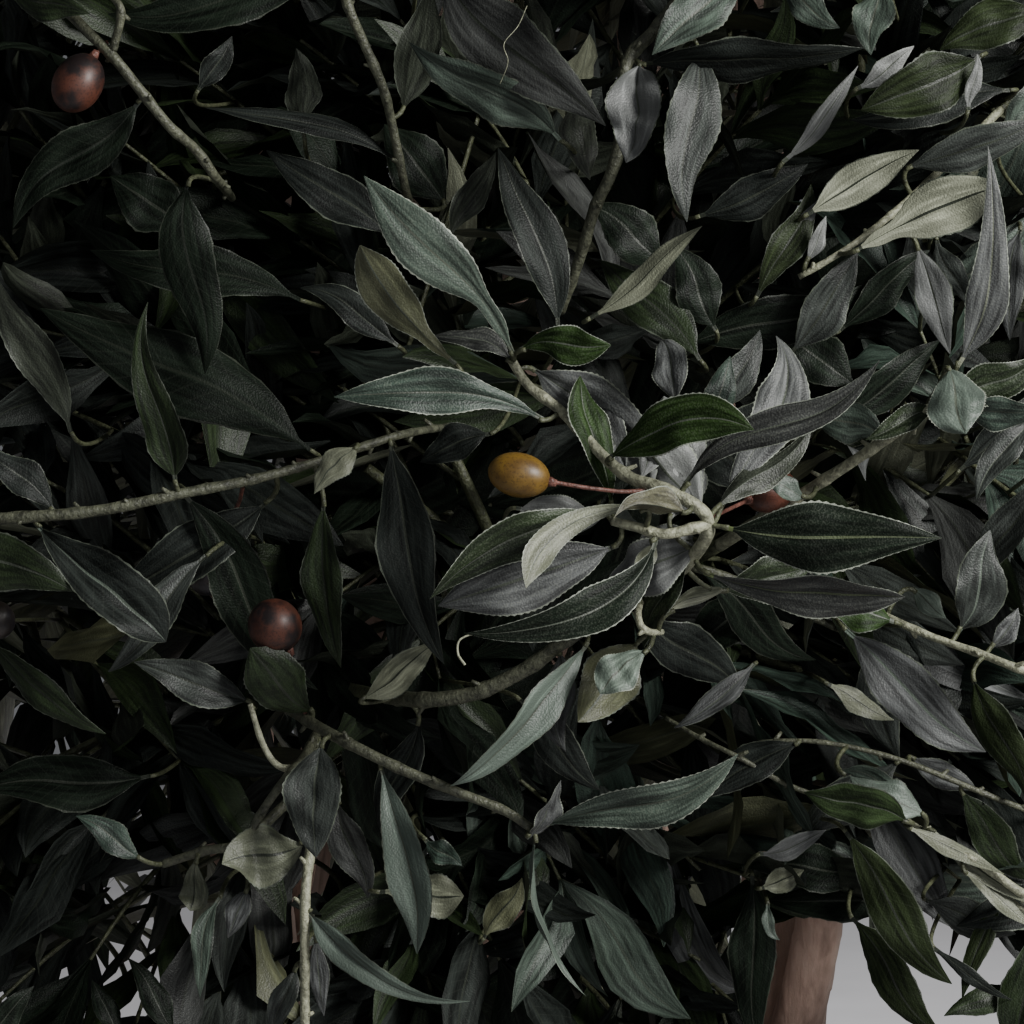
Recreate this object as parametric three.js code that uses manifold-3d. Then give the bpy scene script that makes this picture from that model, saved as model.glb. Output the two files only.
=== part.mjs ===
// An artificial olive tree in a plain clay pot: a short fluted trunk that forks into five boughs with ten
// offshoots, and fifteen masses of fabric leaves and plastic olives carried at their tips.
// Millimetres, +Z up, origin at the centre of the pot's underside. The front of the tree faces -Y.
import * as THREE from "three";
import { mergeVertices } from "three/addons/utils/BufferGeometryUtils.js";
import Module from "manifold-3d";

const wasm = await Module();
wasm.setup();

// Driving dimensions
const GAP = 0.3; // clearance between pieces that touch
const POT_HEIGHT = 290;
const POT_RIM_RADIUS = 172;
const POT_FOOT_RADIUS = 122;
const POT_WALL = 13;
const POT_FLOOR = 16;
const RIM_BAND_HEIGHT = 42;
const RIM_BAND_DEPTH = 9;
const SOIL_BELOW_RIM = 22;
const SOIL_DOME = 7;
const TRUNK_FORK_HEIGHT = 500;
const TRUNK_BASE_RADIUS = 62;
const TRUNK_WAIST_RADIUS = 43;
const BOUGH_BASE_RADIUS = 29;
const BOUGH_TIP_RADIUS = 9;
const OFFSHOOT_BASE_RADIUS = 13;
const OFFSHOOT_TIP_RADIUS = 7;
const STEM_RADIUS = 5;
const TWIG_RADIUS = 3;
const LEAF_LENGTH = 122;
const LEAF_WIDTH = 36;
const LEAF_THICKNESS = 3;
const OLIVE_LENGTH = 25;
const OLIVE_WIDTH = 18;
const HANDOVER_DEPTH = 0.55; // how far inside its mass a bough gives way to its stem, over the reach
const GOLDEN_ANGLE = Math.PI * (3 - Math.sqrt(5));

// Each tier of foliage: how many masses, how far out and how high their centres are, and how far they reach.
const TIERS = {
  low: { count: 5, out: 262, height: 885, reach: 232, firstAzimuth: 0, rise: 0.05, twigs: 8 },
  mid: { count: 5, out: 268, height: 1150, reach: 236, firstAzimuth: 36, rise: 0.75, twigs: 8 },
  high: { count: 4, out: 150, height: 1370, reach: 212, firstAzimuth: 20, rise: 1.3, twigs: 7 },
  top: { count: 1, out: 0, height: 1478, reach: 196, firstAzimuth: 0, rise: 9, twigs: 8 },
};

// Where each bough bends on its way up, as azimuth, distance from the middle and height
const BOUGH_BENDS = [
  [[44, 100, 640], [30, 118, 820]],
  [[111, 119, 655], [104, 125, 840]],
  [[186, 94, 630], [172, 128, 850]],
  [[244, 114, 660], [256, 126, 830]],
  [[316, 104, 645], [330, 112, 815]],
];

const MATERIALS = {
  clay: new THREE.MeshStandardMaterial({ color: 0xa97f68, roughness: 0.85, metalness: 0 }),
  soil: new THREE.MeshStandardMaterial({ color: 0x3a3129, roughness: 1, metalness: 0 }),
  bark: new THREE.MeshStandardMaterial({ color: 0x7d6454, roughness: 0.9, metalness: 0 }),
  foliage: new THREE.MeshStandardMaterial({ color: 0x3c463b, roughness: 0.8, metalness: 0 }),
};

// A seeded draw between 0 and 1
function seeded(seed) {
  let state = seed | 0;
  return () => {
    state = (state + 0x6d2b79f5) | 0;
    let t = Math.imul(state ^ (state >>> 15), 1 | state);
    t = (t + Math.imul(t ^ (t >>> 7), 61 | t)) ^ t;
    return ((t ^ (t >>> 14)) >>> 0) / 4294967296;
  };
}

const vector = (x, y, z) => new THREE.Vector3(x, y, z);

// Azimuth 0 is the front, and it turns towards +X.
function around(azimuth, out, height) {
  const angle = THREE.MathUtils.degToRad(azimuth);
  return vector(Math.sin(angle) * out, -Math.cos(angle) * out, height);
}

function solidOf(geometry) {
  const bare = geometry.clone();
  for (const name of Object.keys(bare.attributes)) if (name !== "position") bare.deleteAttribute(name);
  const merged = mergeVertices(bare, 1e-4);
  return new wasm.Manifold(
    new wasm.Mesh({
      numProp: 3,
      vertProperties: new Float32Array(merged.attributes.position.array),
      triVerts: new Uint32Array(merged.index.array),
    }),
  );
}

// The largest body of a solid, without the loose scraps that a cut can leave
function mainBody(solid) {
  return solid.decompose().sort((a, b) => b.volume() - a.volume())[0];
}

function meshOf(name, solid, material) {
  const made = solid.getMesh();
  const geometry = new THREE.BufferGeometry();
  geometry.setAttribute("position", new THREE.BufferAttribute(new Float32Array(made.vertProperties), 3));
  geometry.setIndex(new THREE.BufferAttribute(new Uint32Array(made.triVerts), 1));
  geometry.computeVertexNormals();
  const mesh = new THREE.Mesh(geometry, material);
  mesh.name = name;
  return mesh;
}

// A closed tube along a curve, whose radius is radiusAt(share of the way, angle round it).
// Its tip is pushed on by extra.
function limbGeometry(curve, radiusAt, sides, steps, extra = 0) {
  const frames = curve.computeFrenetFrames(steps, false);
  const positions = [];
  const index = [];
  for (let i = 0; i <= steps; i++) {
    const share = i / steps;
    const centre = curve.getPointAt(share);
    if (i === steps) centre.addScaledVector(frames.tangents[i], extra);
    for (let j = 0; j < sides; j++) {
      const angle = (j / sides) * 2 * Math.PI;
      const radius = radiusAt(share, angle);
      const point = centre
        .clone()
        .addScaledVector(frames.normals[i], Math.cos(angle) * radius)
        .addScaledVector(frames.binormals[i], Math.sin(angle) * radius);
      positions.push(point.x, point.y, point.z);
    }
  }
  for (let i = 0; i < steps; i++)
    for (let j = 0; j < sides; j++) {
      const a = i * sides + j;
      const b = i * sides + ((j + 1) % sides);
      index.push(a, b, b + sides, a, b + sides, a + sides);
    }
  const last = steps * sides;
  for (let j = 1; j < sides - 1; j++) {
    index.push(0, j + 1, j);
    index.push(last, last + j, last + j + 1);
  }
  const geometry = new THREE.BufferGeometry();
  geometry.setAttribute("position", new THREE.Float32BufferAttribute(positions, 3));
  geometry.setIndex(index);
  return geometry;
}

const taper = (base, tip) => (share) => base + (tip - base) * share;

// A limb as a solid, with its centreline and radius kept for what grows from it or keeps clear of it
function limb(curve, base, tip, sides, steps) {
  const radius = taper(base, tip);
  return {
    curve,
    radius,
    solid: solidOf(limbGeometry(curve, radius, sides, steps)),
    grown: solidOf(limbGeometry(curve, (share) => radius(share) + GAP, sides, steps, GAP)),
    samples: curve.getSpacedPoints(24).map((point, i) => ({ point, radius: radius(i / 24) })),
  };
}

// Pot and soil

function potSolid() {
  const rimInner = POT_RIM_RADIUS - POT_WALL;
  const bandBottom = POT_HEIGHT - RIM_BAND_HEIGHT;
  const wallTop = POT_RIM_RADIUS - RIM_BAND_DEPTH;
  const profile = [
    [0, 0],
    [POT_FOOT_RADIUS - 3, 0],
    [POT_FOOT_RADIUS, 3],
    [wallTop, bandBottom - 5],
    [POT_RIM_RADIUS - 2, bandBottom],
    [POT_RIM_RADIUS, bandBottom + 5],
    [POT_RIM_RADIUS, POT_HEIGHT - 5],
    [POT_RIM_RADIUS - 4, POT_HEIGHT],
    [rimInner + 3, POT_HEIGHT],
    [rimInner, POT_HEIGHT - 4],
    [POT_FOOT_RADIUS - POT_WALL, POT_FLOOR],
    [0, POT_FLOOR],
  ].map(([x, y]) => new THREE.Vector2(x, y));
  return solidOf(new THREE.LatheGeometry(profile, 24).rotateX(Math.PI / 2));
}

// The inner wall's radius at a height, from the same cone as the pot's own inside
function innerRadius(height) {
  const foot = POT_FOOT_RADIUS - POT_WALL;
  const rim = POT_RIM_RADIUS - POT_WALL;
  return foot + ((rim - foot) * (height - POT_FLOOR)) / (POT_HEIGHT - 4 - POT_FLOOR);
}

const SOIL_TOP = POT_HEIGHT - SOIL_BELOW_RIM + SOIL_DOME;

function soilSolid() {
  const floor = POT_FLOOR + GAP;
  const edge = POT_HEIGHT - SOIL_BELOW_RIM;
  const profile = [
    [0, floor],
    [innerRadius(floor) - GAP, floor],
    [innerRadius(edge) - GAP, edge],
    [innerRadius(edge) - 22, edge + SOIL_DOME * 0.6],
    [TRUNK_BASE_RADIUS + 24, SOIL_TOP],
    [0, SOIL_TOP],
  ].map(([x, y]) => new THREE.Vector2(x, y));
  return solidOf(new THREE.LatheGeometry(profile, 24).rotateX(Math.PI / 2));
}

// Trunk: a root flare in lobes at the soil, a waist, and a wider head where it forks

function trunkRadius(share, angle) {
  const flare = (TRUNK_BASE_RADIUS - TRUNK_WAIST_RADIUS) * Math.exp(-share * 7);
  const head = 9 * share ** 3;
  const lobes = 1 + (0.05 + 0.11 * Math.exp(-share * 5)) * Math.cos(4 * angle + 2.2 * share);
  return (TRUNK_WAIST_RADIUS + flare + head) * lobes;
}

const TRUNK_TOP = vector(10, 5, TRUNK_FORK_HEIGHT);

function makeTrunk() {
  const curve = new THREE.CatmullRomCurve3([
    vector(0, 0, SOIL_TOP + GAP),
    vector(-3, -3, SOIL_TOP + 70),
    vector(8, -4, SOIL_TOP + 150),
    TRUNK_TOP,
  ]);
  const sides = 16;
  const steps = 7;
  const level = solidOf(new THREE.BoxGeometry(400, 400, 400).translate(0, 0, SOIL_TOP + GAP - 200));
  const wider = (share, angle) => trunkRadius(share, angle) + GAP;
  const raised = solidOf(limbGeometry(curve, trunkRadius, sides, steps));
  const grown = solidOf(limbGeometry(curve, wider, sides, steps));
  const samples = curve.getSpacedPoints(10).map((point, i) => ({ point, radius: trunkRadius(i / 10, 0) }));
  return { curve, solid: raised.subtract(level), grown, samples };
}

// Masses of foliage: where each one is, and where its bough hands over to its stem

function massesOf(tierName) {
  const tier = TIERS[tierName];
  const masses = [];
  for (let k = 0; k < tier.count; k++) {
    const azimuth = tier.firstAzimuth + (k * 360) / tier.count;
    const centre = around(azimuth, tier.out, tier.height);
    const growth = around(azimuth, 1, tier.rise).normalize();
    masses.push({
      name: tier.count > 1 ? `foliage_${tierName}_${k + 1}` : `foliage_${tierName}`,
      tier: tierName,
      azimuth,
      centre,
      growth,
      reach: tier.reach,
      twigs: tier.twigs,
      handover: centre.clone().addScaledVector(growth, -HANDOVER_DEPTH * tier.reach),
      seed: 100 * (Object.keys(TIERS).indexOf(tierName) + 1) + k,
    });
  }
  return masses;
}

const low = massesOf("low");
const mid = massesOf("mid");
const high = massesOf("high");
const top = massesOf("top");
const allMasses = [...low, ...mid, ...high, ...top];

// How far a point lies inside its own mass's space: within its reach, on its own side of every other mass
function roomIn(mass, point) {
  let room = mass.reach - point.distanceTo(mass.centre);
  const own = point.distanceToSquared(mass.centre) - mass.reach ** 2;
  for (const other of allMasses) {
    if (other === mass) continue;
    const theirs = point.distanceToSquared(other.centre) - other.reach ** 2;
    room = Math.min(room, (theirs - own) / (2 * other.centre.distanceTo(mass.centre)));
  }
  return room;
}

// Boughs: five from the fork to the middle tier, then an offshoot from each to the low and the high tier

function growBoughs(trunk) {
  const limbs = [];
  const grow = (name, mass, points, base, tip, sides, steps) => {
    const curve = new THREE.CatmullRomCurve3([...points, mass.handover], false, "catmullrom", 0.5);
    const parents = [trunk, ...limbs];
    limbs.push({ name, mass, parents, ...limb(curve, base, tip, sides, steps) });
  };
  mid.forEach((mass, k) => {
    const start = TRUNK_TOP.clone().add(around(mass.azimuth, 23, -46 + 9 * (k % 3)));
    const bends = BOUGH_BENDS[k].map(([azimuth, out, height]) => around(azimuth, out, height));
    grow(`bough_${k + 1}`, mass, [start, ...bends], BOUGH_BASE_RADIUS, BOUGH_TIP_RADIUS, 7, 8);
  });
  const boughs = [...limbs];
  const base = OFFSHOOT_BASE_RADIUS;
  const tip = OFFSHOOT_TIP_RADIUS;
  low.forEach((mass, k) => {
    const start = boughs[k].curve.getPointAt(0.27);
    const halfway = start.clone().lerp(mass.handover, 0.5);
    const outward = around(mass.azimuth + 18, 16, -12);
    grow(`offshoot_low_${k + 1}`, mass, [start, halfway.add(outward)], base, tip, 7, 5);
  });
  [...high, ...top].forEach((mass, k) => {
    const isTop = mass.tier === "top";
    const start = boughs[k].curve.getPointAt(isTop ? 0.62 : 0.72);
    const rising = start.clone().lerp(mass.handover, 0.45).add(vector(0, 0, 30));
    grow(isTop ? "offshoot_top" : `offshoot_high_${k + 1}`, mass, [start, rising], base, tip, 7, 5);
  });
  for (const each of limbs)
    each.solid = mainBody(each.parents.reduce((left, parent) => left.subtract(parent.grown), each.solid));
  return limbs;
}

// Foliage

// One leaf as a pointed blade of eight faces, sunk a seventh of its length into the twig at its root
function leafSolid(root, heading, normal, length) {
  const side = new THREE.Vector3().crossVectors(normal, heading).normalize();
  const face = new THREE.Vector3().crossVectors(heading, side).normalize();
  const blade = new THREE.OctahedronGeometry(1);
  blade.scale(LEAF_WIDTH / 2, LEAF_THICKNESS / 2, length / 2);
  blade.applyMatrix4(new THREE.Matrix4().makeBasis(side, face, heading));
  const middle = root.clone().addScaledVector(heading, 0.36 * length);
  return solidOf(blade.translate(middle.x, middle.y, middle.z));
}

function oliveSolid(centre, heading) {
  const fruit = new THREE.SphereGeometry(1, 8, 4).scale(OLIVE_WIDTH / 2, OLIVE_LENGTH / 2, OLIVE_WIDTH / 2);
  fruit.applyQuaternion(new THREE.Quaternion().setFromUnitVectors(vector(0, 1, 0), heading));
  return solidOf(fruit.translate(centre.x, centre.y, centre.z));
}

// A direction a given turn and tilt away from an axis
function spread(axis, turn, tilt) {
  const across = Math.abs(axis.z) < 0.9 ? vector(0, 0, 1) : vector(1, 0, 0);
  const aside = new THREE.Vector3().crossVectors(axis, across).normalize().applyAxisAngle(axis, turn);
  return axis.clone().multiplyScalar(Math.cos(tilt)).addScaledVector(aside, Math.sin(tilt)).normalize();
}

const clearOf = (point, samples, margin) =>
  samples.every((sample) => sample.point.distanceTo(point) > sample.radius + margin);

// A twig from the stem towards heading, as far as the mass's space allows
function twigCurve(mass, root, heading, samples) {
  let length = 0;
  for (let step = 20; step <= 300; step += 10) {
    const point = root.clone().addScaledVector(heading, step);
    if (roomIn(mass, point) < 26 || !clearOf(point, samples, 10)) break;
    length = step;
  }
  if (length < 50) return null;
  const end = root.clone().addScaledVector(heading, length);
  const bow = root.clone().lerp(end, 0.5).addScaledVector(vector(0, 0, 1), 0.06 * length);
  return new THREE.QuadraticBezierCurve3(root, bow, end);
}

function growMass(mass, limbs) {
  const samples = limbs.flatMap((each) => each.samples);
  const stemStart = mass.handover.clone().addScaledVector(mass.growth, -1);
  const stemEnd = mass.centre.clone().addScaledVector(mass.growth, 0.42 * mass.reach);
  const stem = new THREE.LineCurve3(stemStart, stemEnd);
  const pieces = [solidOf(limbGeometry(stem, taper(STEM_RADIUS, 3), 5, 1))];
  const addLeaf = (root, heading, length, roll) => {
    const end = root.clone().addScaledVector(heading, 0.86 * length);
    const middle = root.clone().addScaledVector(heading, 0.36 * length);
    if (roomIn(mass, end) < 2 || roomIn(mass, middle) < LEAF_WIDTH / 2 + 2) return;
    for (let share = -0.14; share <= 0.9; share += 0.13) {
      const point = root.clone().addScaledVector(heading, share * length);
      if (!clearOf(point, samples, LEAF_WIDTH / 2 + 3)) return;
    }
    const normal = spread(heading, roll, Math.PI / 2);
    pieces.push(leafSolid(root, heading, normal.lerp(vector(0, 0, 1), 0.4).normalize(), length));
  };
  for (let k = 0; k < mass.twigs; k++) {
    const random = seeded(1000 * mass.seed + k);
    const share = (k + 0.5) / mass.twigs;
    const root = stem.getPointAt(0.12 + 0.86 * share);
    const tilt = THREE.MathUtils.degToRad(122 - 100 * share + 14 * (random() - 0.5));
    const heading = spread(mass.growth, k * GOLDEN_ANGLE + mass.seed, tilt);
    const twig = twigCurve(mass, root, heading, samples);
    if (!twig) continue;
    pieces.push(solidOf(limbGeometry(twig, taper(TWIG_RADIUS, 1.8), 3, 2)));
    for (const [place, turn, tiltAside] of [
      [0.42, 0, 52],
      [0.64, 2.2, 48],
      [0.84, 4.1, 42],
    ]) {
      const along = twig.getTangentAt(place);
      const aside = spread(along, turn + random() * 1.4, THREE.MathUtils.degToRad(tiltAside));
      addLeaf(twig.getPointAt(place), aside, LEAF_LENGTH * (0.78 + 0.24 * random()), random() * 6.28);
    }
    addLeaf(twig.getPointAt(0.985), twig.getTangentAt(1), LEAF_LENGTH * 0.9, random() * 6.28);
    if (k === 2) {
      const from = twig.getPointAt(0.74);
      const hang = spread(twig.getTangentAt(0.74), random() * 6, 1.2).add(vector(0, 0, -0.8)).normalize();
      const centre = from.clone().addScaledVector(hang, 0.42 * OLIVE_LENGTH);
      if (roomIn(mass, centre) > OLIVE_LENGTH && clearOf(centre, samples, OLIVE_LENGTH)) {
        pieces.push(oliveSolid(centre, hang));
      }
    }
  }
  const carrier = limbs.find((each) => each.mass === mass);
  return mainBody(wasm.Manifold.union(pieces).subtract(carrier.grown));
}

// The tree

const tree = new THREE.Group();
tree.name = "potted_olive_tree";

const trunk = makeTrunk();
const limbs = growBoughs(trunk);
const woody = [trunk, ...limbs];

tree.add(meshOf("pot", potSolid(), MATERIALS.clay));
tree.add(meshOf("soil", soilSolid(), MATERIALS.soil));
tree.add(meshOf("trunk", trunk.solid, MATERIALS.bark));
for (const each of limbs) tree.add(meshOf(each.name, each.solid, MATERIALS.bark));
for (const mass of allMasses) tree.add(meshOf(mass.name, growMass(mass, woody), MATERIALS.foliage));

export default tree;
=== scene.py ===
import math

import bpy
import numpy as np
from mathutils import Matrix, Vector, noise


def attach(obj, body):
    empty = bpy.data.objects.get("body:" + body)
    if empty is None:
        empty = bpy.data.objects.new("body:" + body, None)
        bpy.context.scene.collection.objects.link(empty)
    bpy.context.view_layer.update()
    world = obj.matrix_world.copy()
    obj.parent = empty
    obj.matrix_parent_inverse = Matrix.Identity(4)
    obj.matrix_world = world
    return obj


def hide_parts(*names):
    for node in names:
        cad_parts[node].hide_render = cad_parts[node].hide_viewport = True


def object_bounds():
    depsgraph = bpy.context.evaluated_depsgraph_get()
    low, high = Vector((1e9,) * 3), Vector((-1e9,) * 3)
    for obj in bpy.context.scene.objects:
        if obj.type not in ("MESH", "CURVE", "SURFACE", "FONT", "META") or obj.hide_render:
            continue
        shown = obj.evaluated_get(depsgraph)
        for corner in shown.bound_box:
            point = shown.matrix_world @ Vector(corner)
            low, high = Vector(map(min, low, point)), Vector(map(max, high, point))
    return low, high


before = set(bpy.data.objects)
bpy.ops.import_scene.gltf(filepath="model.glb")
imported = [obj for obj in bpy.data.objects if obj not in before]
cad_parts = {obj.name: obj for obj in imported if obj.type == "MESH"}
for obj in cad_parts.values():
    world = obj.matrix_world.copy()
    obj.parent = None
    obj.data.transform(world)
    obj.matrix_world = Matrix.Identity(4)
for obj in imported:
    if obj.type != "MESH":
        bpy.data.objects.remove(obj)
cad_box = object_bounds()

# Sizes that the CAD source states
TRUNK_FORK_HEIGHT = 0.500
TRUNK_BASE_RADIUS = 0.062
TRUNK_WAIST_RADIUS = 0.043
TRUNK_TOP = np.array([0.010, 0.005, TRUNK_FORK_HEIGHT])
SOIL_TOP = 0.275
SOIL_EDGE = 0.268
BOUGH_RADII = (0.029, 0.009)
OFFSHOOT_RADII = (0.013, 0.007)
POT_HEIGHT = 0.290
POT_RIM_RADIUS = 0.172
POT_FOOT_RADIUS = 0.122
POT_WALL = 0.013
POT_FLOOR = 0.016
HANDOVER_DEPTH = 0.55
GOLDEN_ANGLE = math.pi * (3 - math.sqrt(5))
TIERS = {
    "low": dict(count=5, out=0.262, height=0.885, reach=0.232, first=0, rise=0.05, twigs=8),
    "mid": dict(count=5, out=0.268, height=1.150, reach=0.236, first=36, rise=0.75, twigs=8),
    "high": dict(count=4, out=0.150, height=1.370, reach=0.212, first=20, rise=1.3, twigs=7),
    "top": dict(count=1, out=0.0, height=1.478, reach=0.196, first=0, rise=9, twigs=8),
}
BOUGH_BENDS = [
    [(44, 0.100, 0.640), (30, 0.118, 0.820)],
    [(111, 0.119, 0.655), (104, 0.125, 0.840)],
    [(186, 0.094, 0.630), (172, 0.128, 0.850)],
    [(244, 0.114, 0.660), (256, 0.126, 0.830)],
    [(316, 0.104, 0.645), (330, 0.112, 0.815)],
]

# True sizes of what grows on the twigs
LEAF_LENGTH = 0.065
LEAF_THICKNESS = 0.0005
NODE_SPACING = 0.024
SIDE_TWIGS = 6

# The camera looks level at the plane that the photograph is sharp in. Depths are measured back from it.
FOCUS_Y = -0.400
CAMERA_DISTANCE = 0.900
EYE_HEIGHT = 0.910
EYE = np.array([0.0, FOCUS_Y - CAMERA_DISTANCE, EYE_HEIGHT])
PIXEL = 0.000293  # one pixel of the photograph, measured in the sharp plane
CENTRE_PIXEL = 512  # the photograph is 1024 pixels wide and high
SENSOR_WIDTH = 36
UP = np.array([0.0, 0.0, 1.0])


# Vectors and chance

def unit(v):
    return v / np.linalg.norm(v)


def around(azimuth, out, height):
    angle = math.radians(azimuth)
    return np.array([math.sin(angle) * out, -math.cos(angle) * out, height])


def rotate(v, axis, angle):
    along = axis * np.dot(axis, v) * (1 - math.cos(angle))
    return v * math.cos(angle) + np.cross(axis, v) * math.sin(angle) + along


def spread(axis, turn, tilt):
    """A direction a given turn and tilt away from an axis, as in the CAD source."""
    across = UP if abs(axis[2]) < 0.9 else np.array([1.0, 0, 0])
    aside = rotate(unit(np.cross(axis, across)), axis, turn)
    return unit(axis * math.cos(tilt) + aside * math.sin(tilt))


def seeded(seed):
    state = seed & 0xFFFFFFFF

    def draw():
        nonlocal state
        state = (state + 0x6D2B79F5) & 0xFFFFFFFF
        t = ((state ^ (state >> 15)) * (1 | state)) & 0xFFFFFFFF
        t = ((t + (((t ^ (t >> 7)) * (61 | t)) & 0xFFFFFFFF)) & 0xFFFFFFFF) ^ t
        return (t ^ (t >> 14)) / 4294967296

    return draw


def pixel_at(depth):
    """How wide the camera sees one pixel at a depth behind the sharp plane."""
    return PIXEL * (1 + depth / CAMERA_DISTANCE)


def jitter(draw):
    return np.array([draw() - 0.5 for _ in range(3)])


def seen_at(point):
    """The pixel of the photograph's frame at which the camera sees a point, and its depth."""
    depth = point[1] - FOCUS_Y
    scale = pixel_at(depth)
    return CENTRE_PIXEL + point[0] / scale, CENTRE_PIXEL - (point[2] - EYE_HEIGHT) / scale, depth


def at_pixel(x, y, depth_mm):
    """The point that the camera sees at a pixel, at a depth in millimetres behind the sharp plane."""
    depth = depth_mm / 1000
    scale = pixel_at(depth)
    return np.array([(x - CENTRE_PIXEL) * scale, FOCUS_Y + depth, EYE_HEIGHT - (y - CENTRE_PIXEL) * scale])


def in_view(x, y, margin):
    """Whether a pixel lies in the photograph's frame, widened by a margin."""
    return -margin < x < 2 * CENTRE_PIXEL + margin and -margin < y < 2 * CENTRE_PIXEL + margin


# Curves, as the CAD source draws them

def curve_points(control, count):
    """Points evenly spaced along a Catmull-Rom curve."""
    p = [np.asarray(c, float) for c in control]
    p = [2 * p[0] - p[1], *p, 2 * p[-1] - p[-2]]
    fine = []
    for i in range(1, len(p) - 2):
        a, b, c, d = p[i - 1 : i + 3]
        for t in np.linspace(0, 1, 40, endpoint=i == len(p) - 3):
            rising = 2 * b + (c - a) * t
            fine.append(0.5 * (rising + (2 * a - 5 * b + 4 * c - d) * t * t + (3 * b - a - 3 * c + d) * t**3))
    return evenly(np.array(fine), count)


def evenly(points, count):
    """Points at even distances along a line of points."""
    length = np.concatenate([[0], np.cumsum(np.linalg.norm(np.diff(points, axis=0), axis=1))])
    at = np.linspace(0, length[-1], count)
    return np.stack([np.interp(at, length, points[:, k]) for k in range(3)], 1)


def bezier(a, b, c, count):
    t = np.linspace(0, 1, count)[:, None]
    return a * (1 - t) ** 2 + 2 * b * t * (1 - t) + c * t * t


def at_share(line, share):
    """The point at a share of a line's steps, and the direction there."""
    steps = share * (len(line) - 1)
    i = min(int(steps), len(line) - 2)
    return line[i] + (line[i + 1] - line[i]) * (steps - i), unit(line[i + 1] - line[i])


# Meshes

class Builder:
    """Collects four-sided faces, each with a material, into one mesh."""

    def __init__(self):
        self.points, self.faces, self.kinds, self.marks, self.count = [], [], [], [], 0

    def add(self, points, faces, kinds, marks=None):
        self.points.append(points)
        self.faces.append(faces + self.count)
        self.kinds.append(np.broadcast_to(kinds, len(faces)))
        if marks is not None:
            self.marks.append(marks)
        self.count += len(points)

    def build(self, name, materials):
        points, faces, kinds = map(np.concatenate, (self.points, self.faces, self.kinds))
        mesh = bpy.data.meshes.new(name)
        mesh.vertices.add(len(points))
        mesh.vertices.foreach_set("co", points.astype(np.float32).ravel())
        mesh.loops.add(faces.size)
        mesh.loops.foreach_set("vertex_index", faces.astype(np.int32).ravel())
        mesh.polygons.add(len(faces))
        mesh.polygons.foreach_set("loop_start", np.arange(0, faces.size, 4, dtype=np.int32))
        mesh.polygons.foreach_set("loop_total", np.full(len(faces), 4, np.int32))
        mesh.polygons.foreach_set("material_index", kinds.astype(np.int32))
        mesh.polygons.foreach_set("use_smooth", np.ones(len(faces), bool))
        for material in materials:
            mesh.materials.append(material)
        mesh.update(calc_edges=True)
        mesh.validate()
        if self.marks:
            blade = mesh.attributes.new("blade", "FLOAT_VECTOR", "POINT")
            blade.data.foreach_set("vector", np.concatenate(self.marks).astype(np.float32).ravel())
        return bpy.data.objects.new(name, mesh)


def ring_grid(rows, sides):
    """Numbers of the points on a row of rings, and for each the number of the next one round."""
    index = np.arange(rows * sides).reshape(rows, sides)
    return index, np.roll(index, -1, axis=1)


def ring_faces(rows, sides):
    index, onward = ring_grid(rows, sides)
    return np.stack([index[:-1], onward[:-1], onward[1:], index[1:]], -1).reshape(-1, 4)


def tube(builder, points, radii, sides, kind=0, relief=None):
    """A round limb along points, narrowing to almost nothing at both ends so that it is closed."""
    points = np.asarray(points, float)
    radii = np.broadcast_to(np.asarray(radii, float), len(points)).copy()
    tangents = np.gradient(points, axis=0)
    tangents /= np.linalg.norm(tangents, axis=1)[:, None]
    normal = unit(np.cross(tangents[0], UP if abs(tangents[0][2]) < 0.9 else np.array([1.0, 0, 0])))
    angles = np.arange(sides) / sides * 2 * math.pi
    rings = []
    for i, (point, tangent) in enumerate(zip(points, tangents)):
        normal = unit(normal - tangent * np.dot(normal, tangent))
        across = np.cross(tangent, normal)
        swell = relief(i / (len(points) - 1), angles) if relief else np.ones(sides)
        ring = np.cos(angles)[:, None] * normal + np.sin(angles)[:, None] * across
        rings.append(point + ring * (radii[i] * swell)[:, None])
    first, last = points[0], points[-1]
    rings = [first + (rings[0] - first) * 0.02, *rings, last + (rings[-1] - last) * 0.02]
    builder.add(np.concatenate(rings), ring_faces(len(rings), sides), kind)


# Leaves

FRONT, BACK, RIM, RIB = range(4)
# Stations along a blade and columns across it, from the finest leaves to the coarsest
FINEST = (np.linspace(0, 1, 57), np.array([-1, -0.955, -0.62, -0.3, -0.04, 0.04, 0.3, 0.62, 0.955, 1]))
FINE = (np.linspace(0, 1, 33), np.array([-1, -0.955, -0.5, -0.05, 0.05, 0.5, 0.955, 1]))
MODEST = (np.linspace(0, 1, 21), np.array([-1, -0.95, -0.5, -0.05, 0.05, 0.5, 0.95, 1]))
MEDIUM = (np.linspace(0, 1, 9), np.array([-1, -0.5, 0, 0.5, 1]))
COARSE = (np.array([0, 0.13, 0.38, 0.68, 1]), np.array([-1, 0, 1]))


def leaf_faces(stations, columns):
    """Faces of a blade's two sides, which meet at their outline, and the kind of each face."""
    rows, cols = len(stations), len(columns)
    top = np.arange(rows * cols).reshape(rows, cols)
    under = top + rows * cols
    faces, kinds = [], []
    for i in range(rows - 1):
        for j in range(cols - 1):
            middle = (columns[j] + columns[j + 1]) / 2
            stalk = stations[i + 1] < 0.07
            rib = (abs(middle) < 0.02 and cols > 6) or stalk
            rim = abs(middle) > 0.95 and cols > 6
            faces.append([top[i, j], top[i + 1, j], top[i + 1, j + 1], top[i, j + 1]])
            kinds.append(RIB if rib else RIM if rim else FRONT)
            faces.append([under[i, j], under[i, j + 1], under[i + 1, j + 1], under[i + 1, j]])
            kinds.append(RIB if rib else RIM if rim else BACK)
    return np.array(faces), np.array(kinds)


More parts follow.
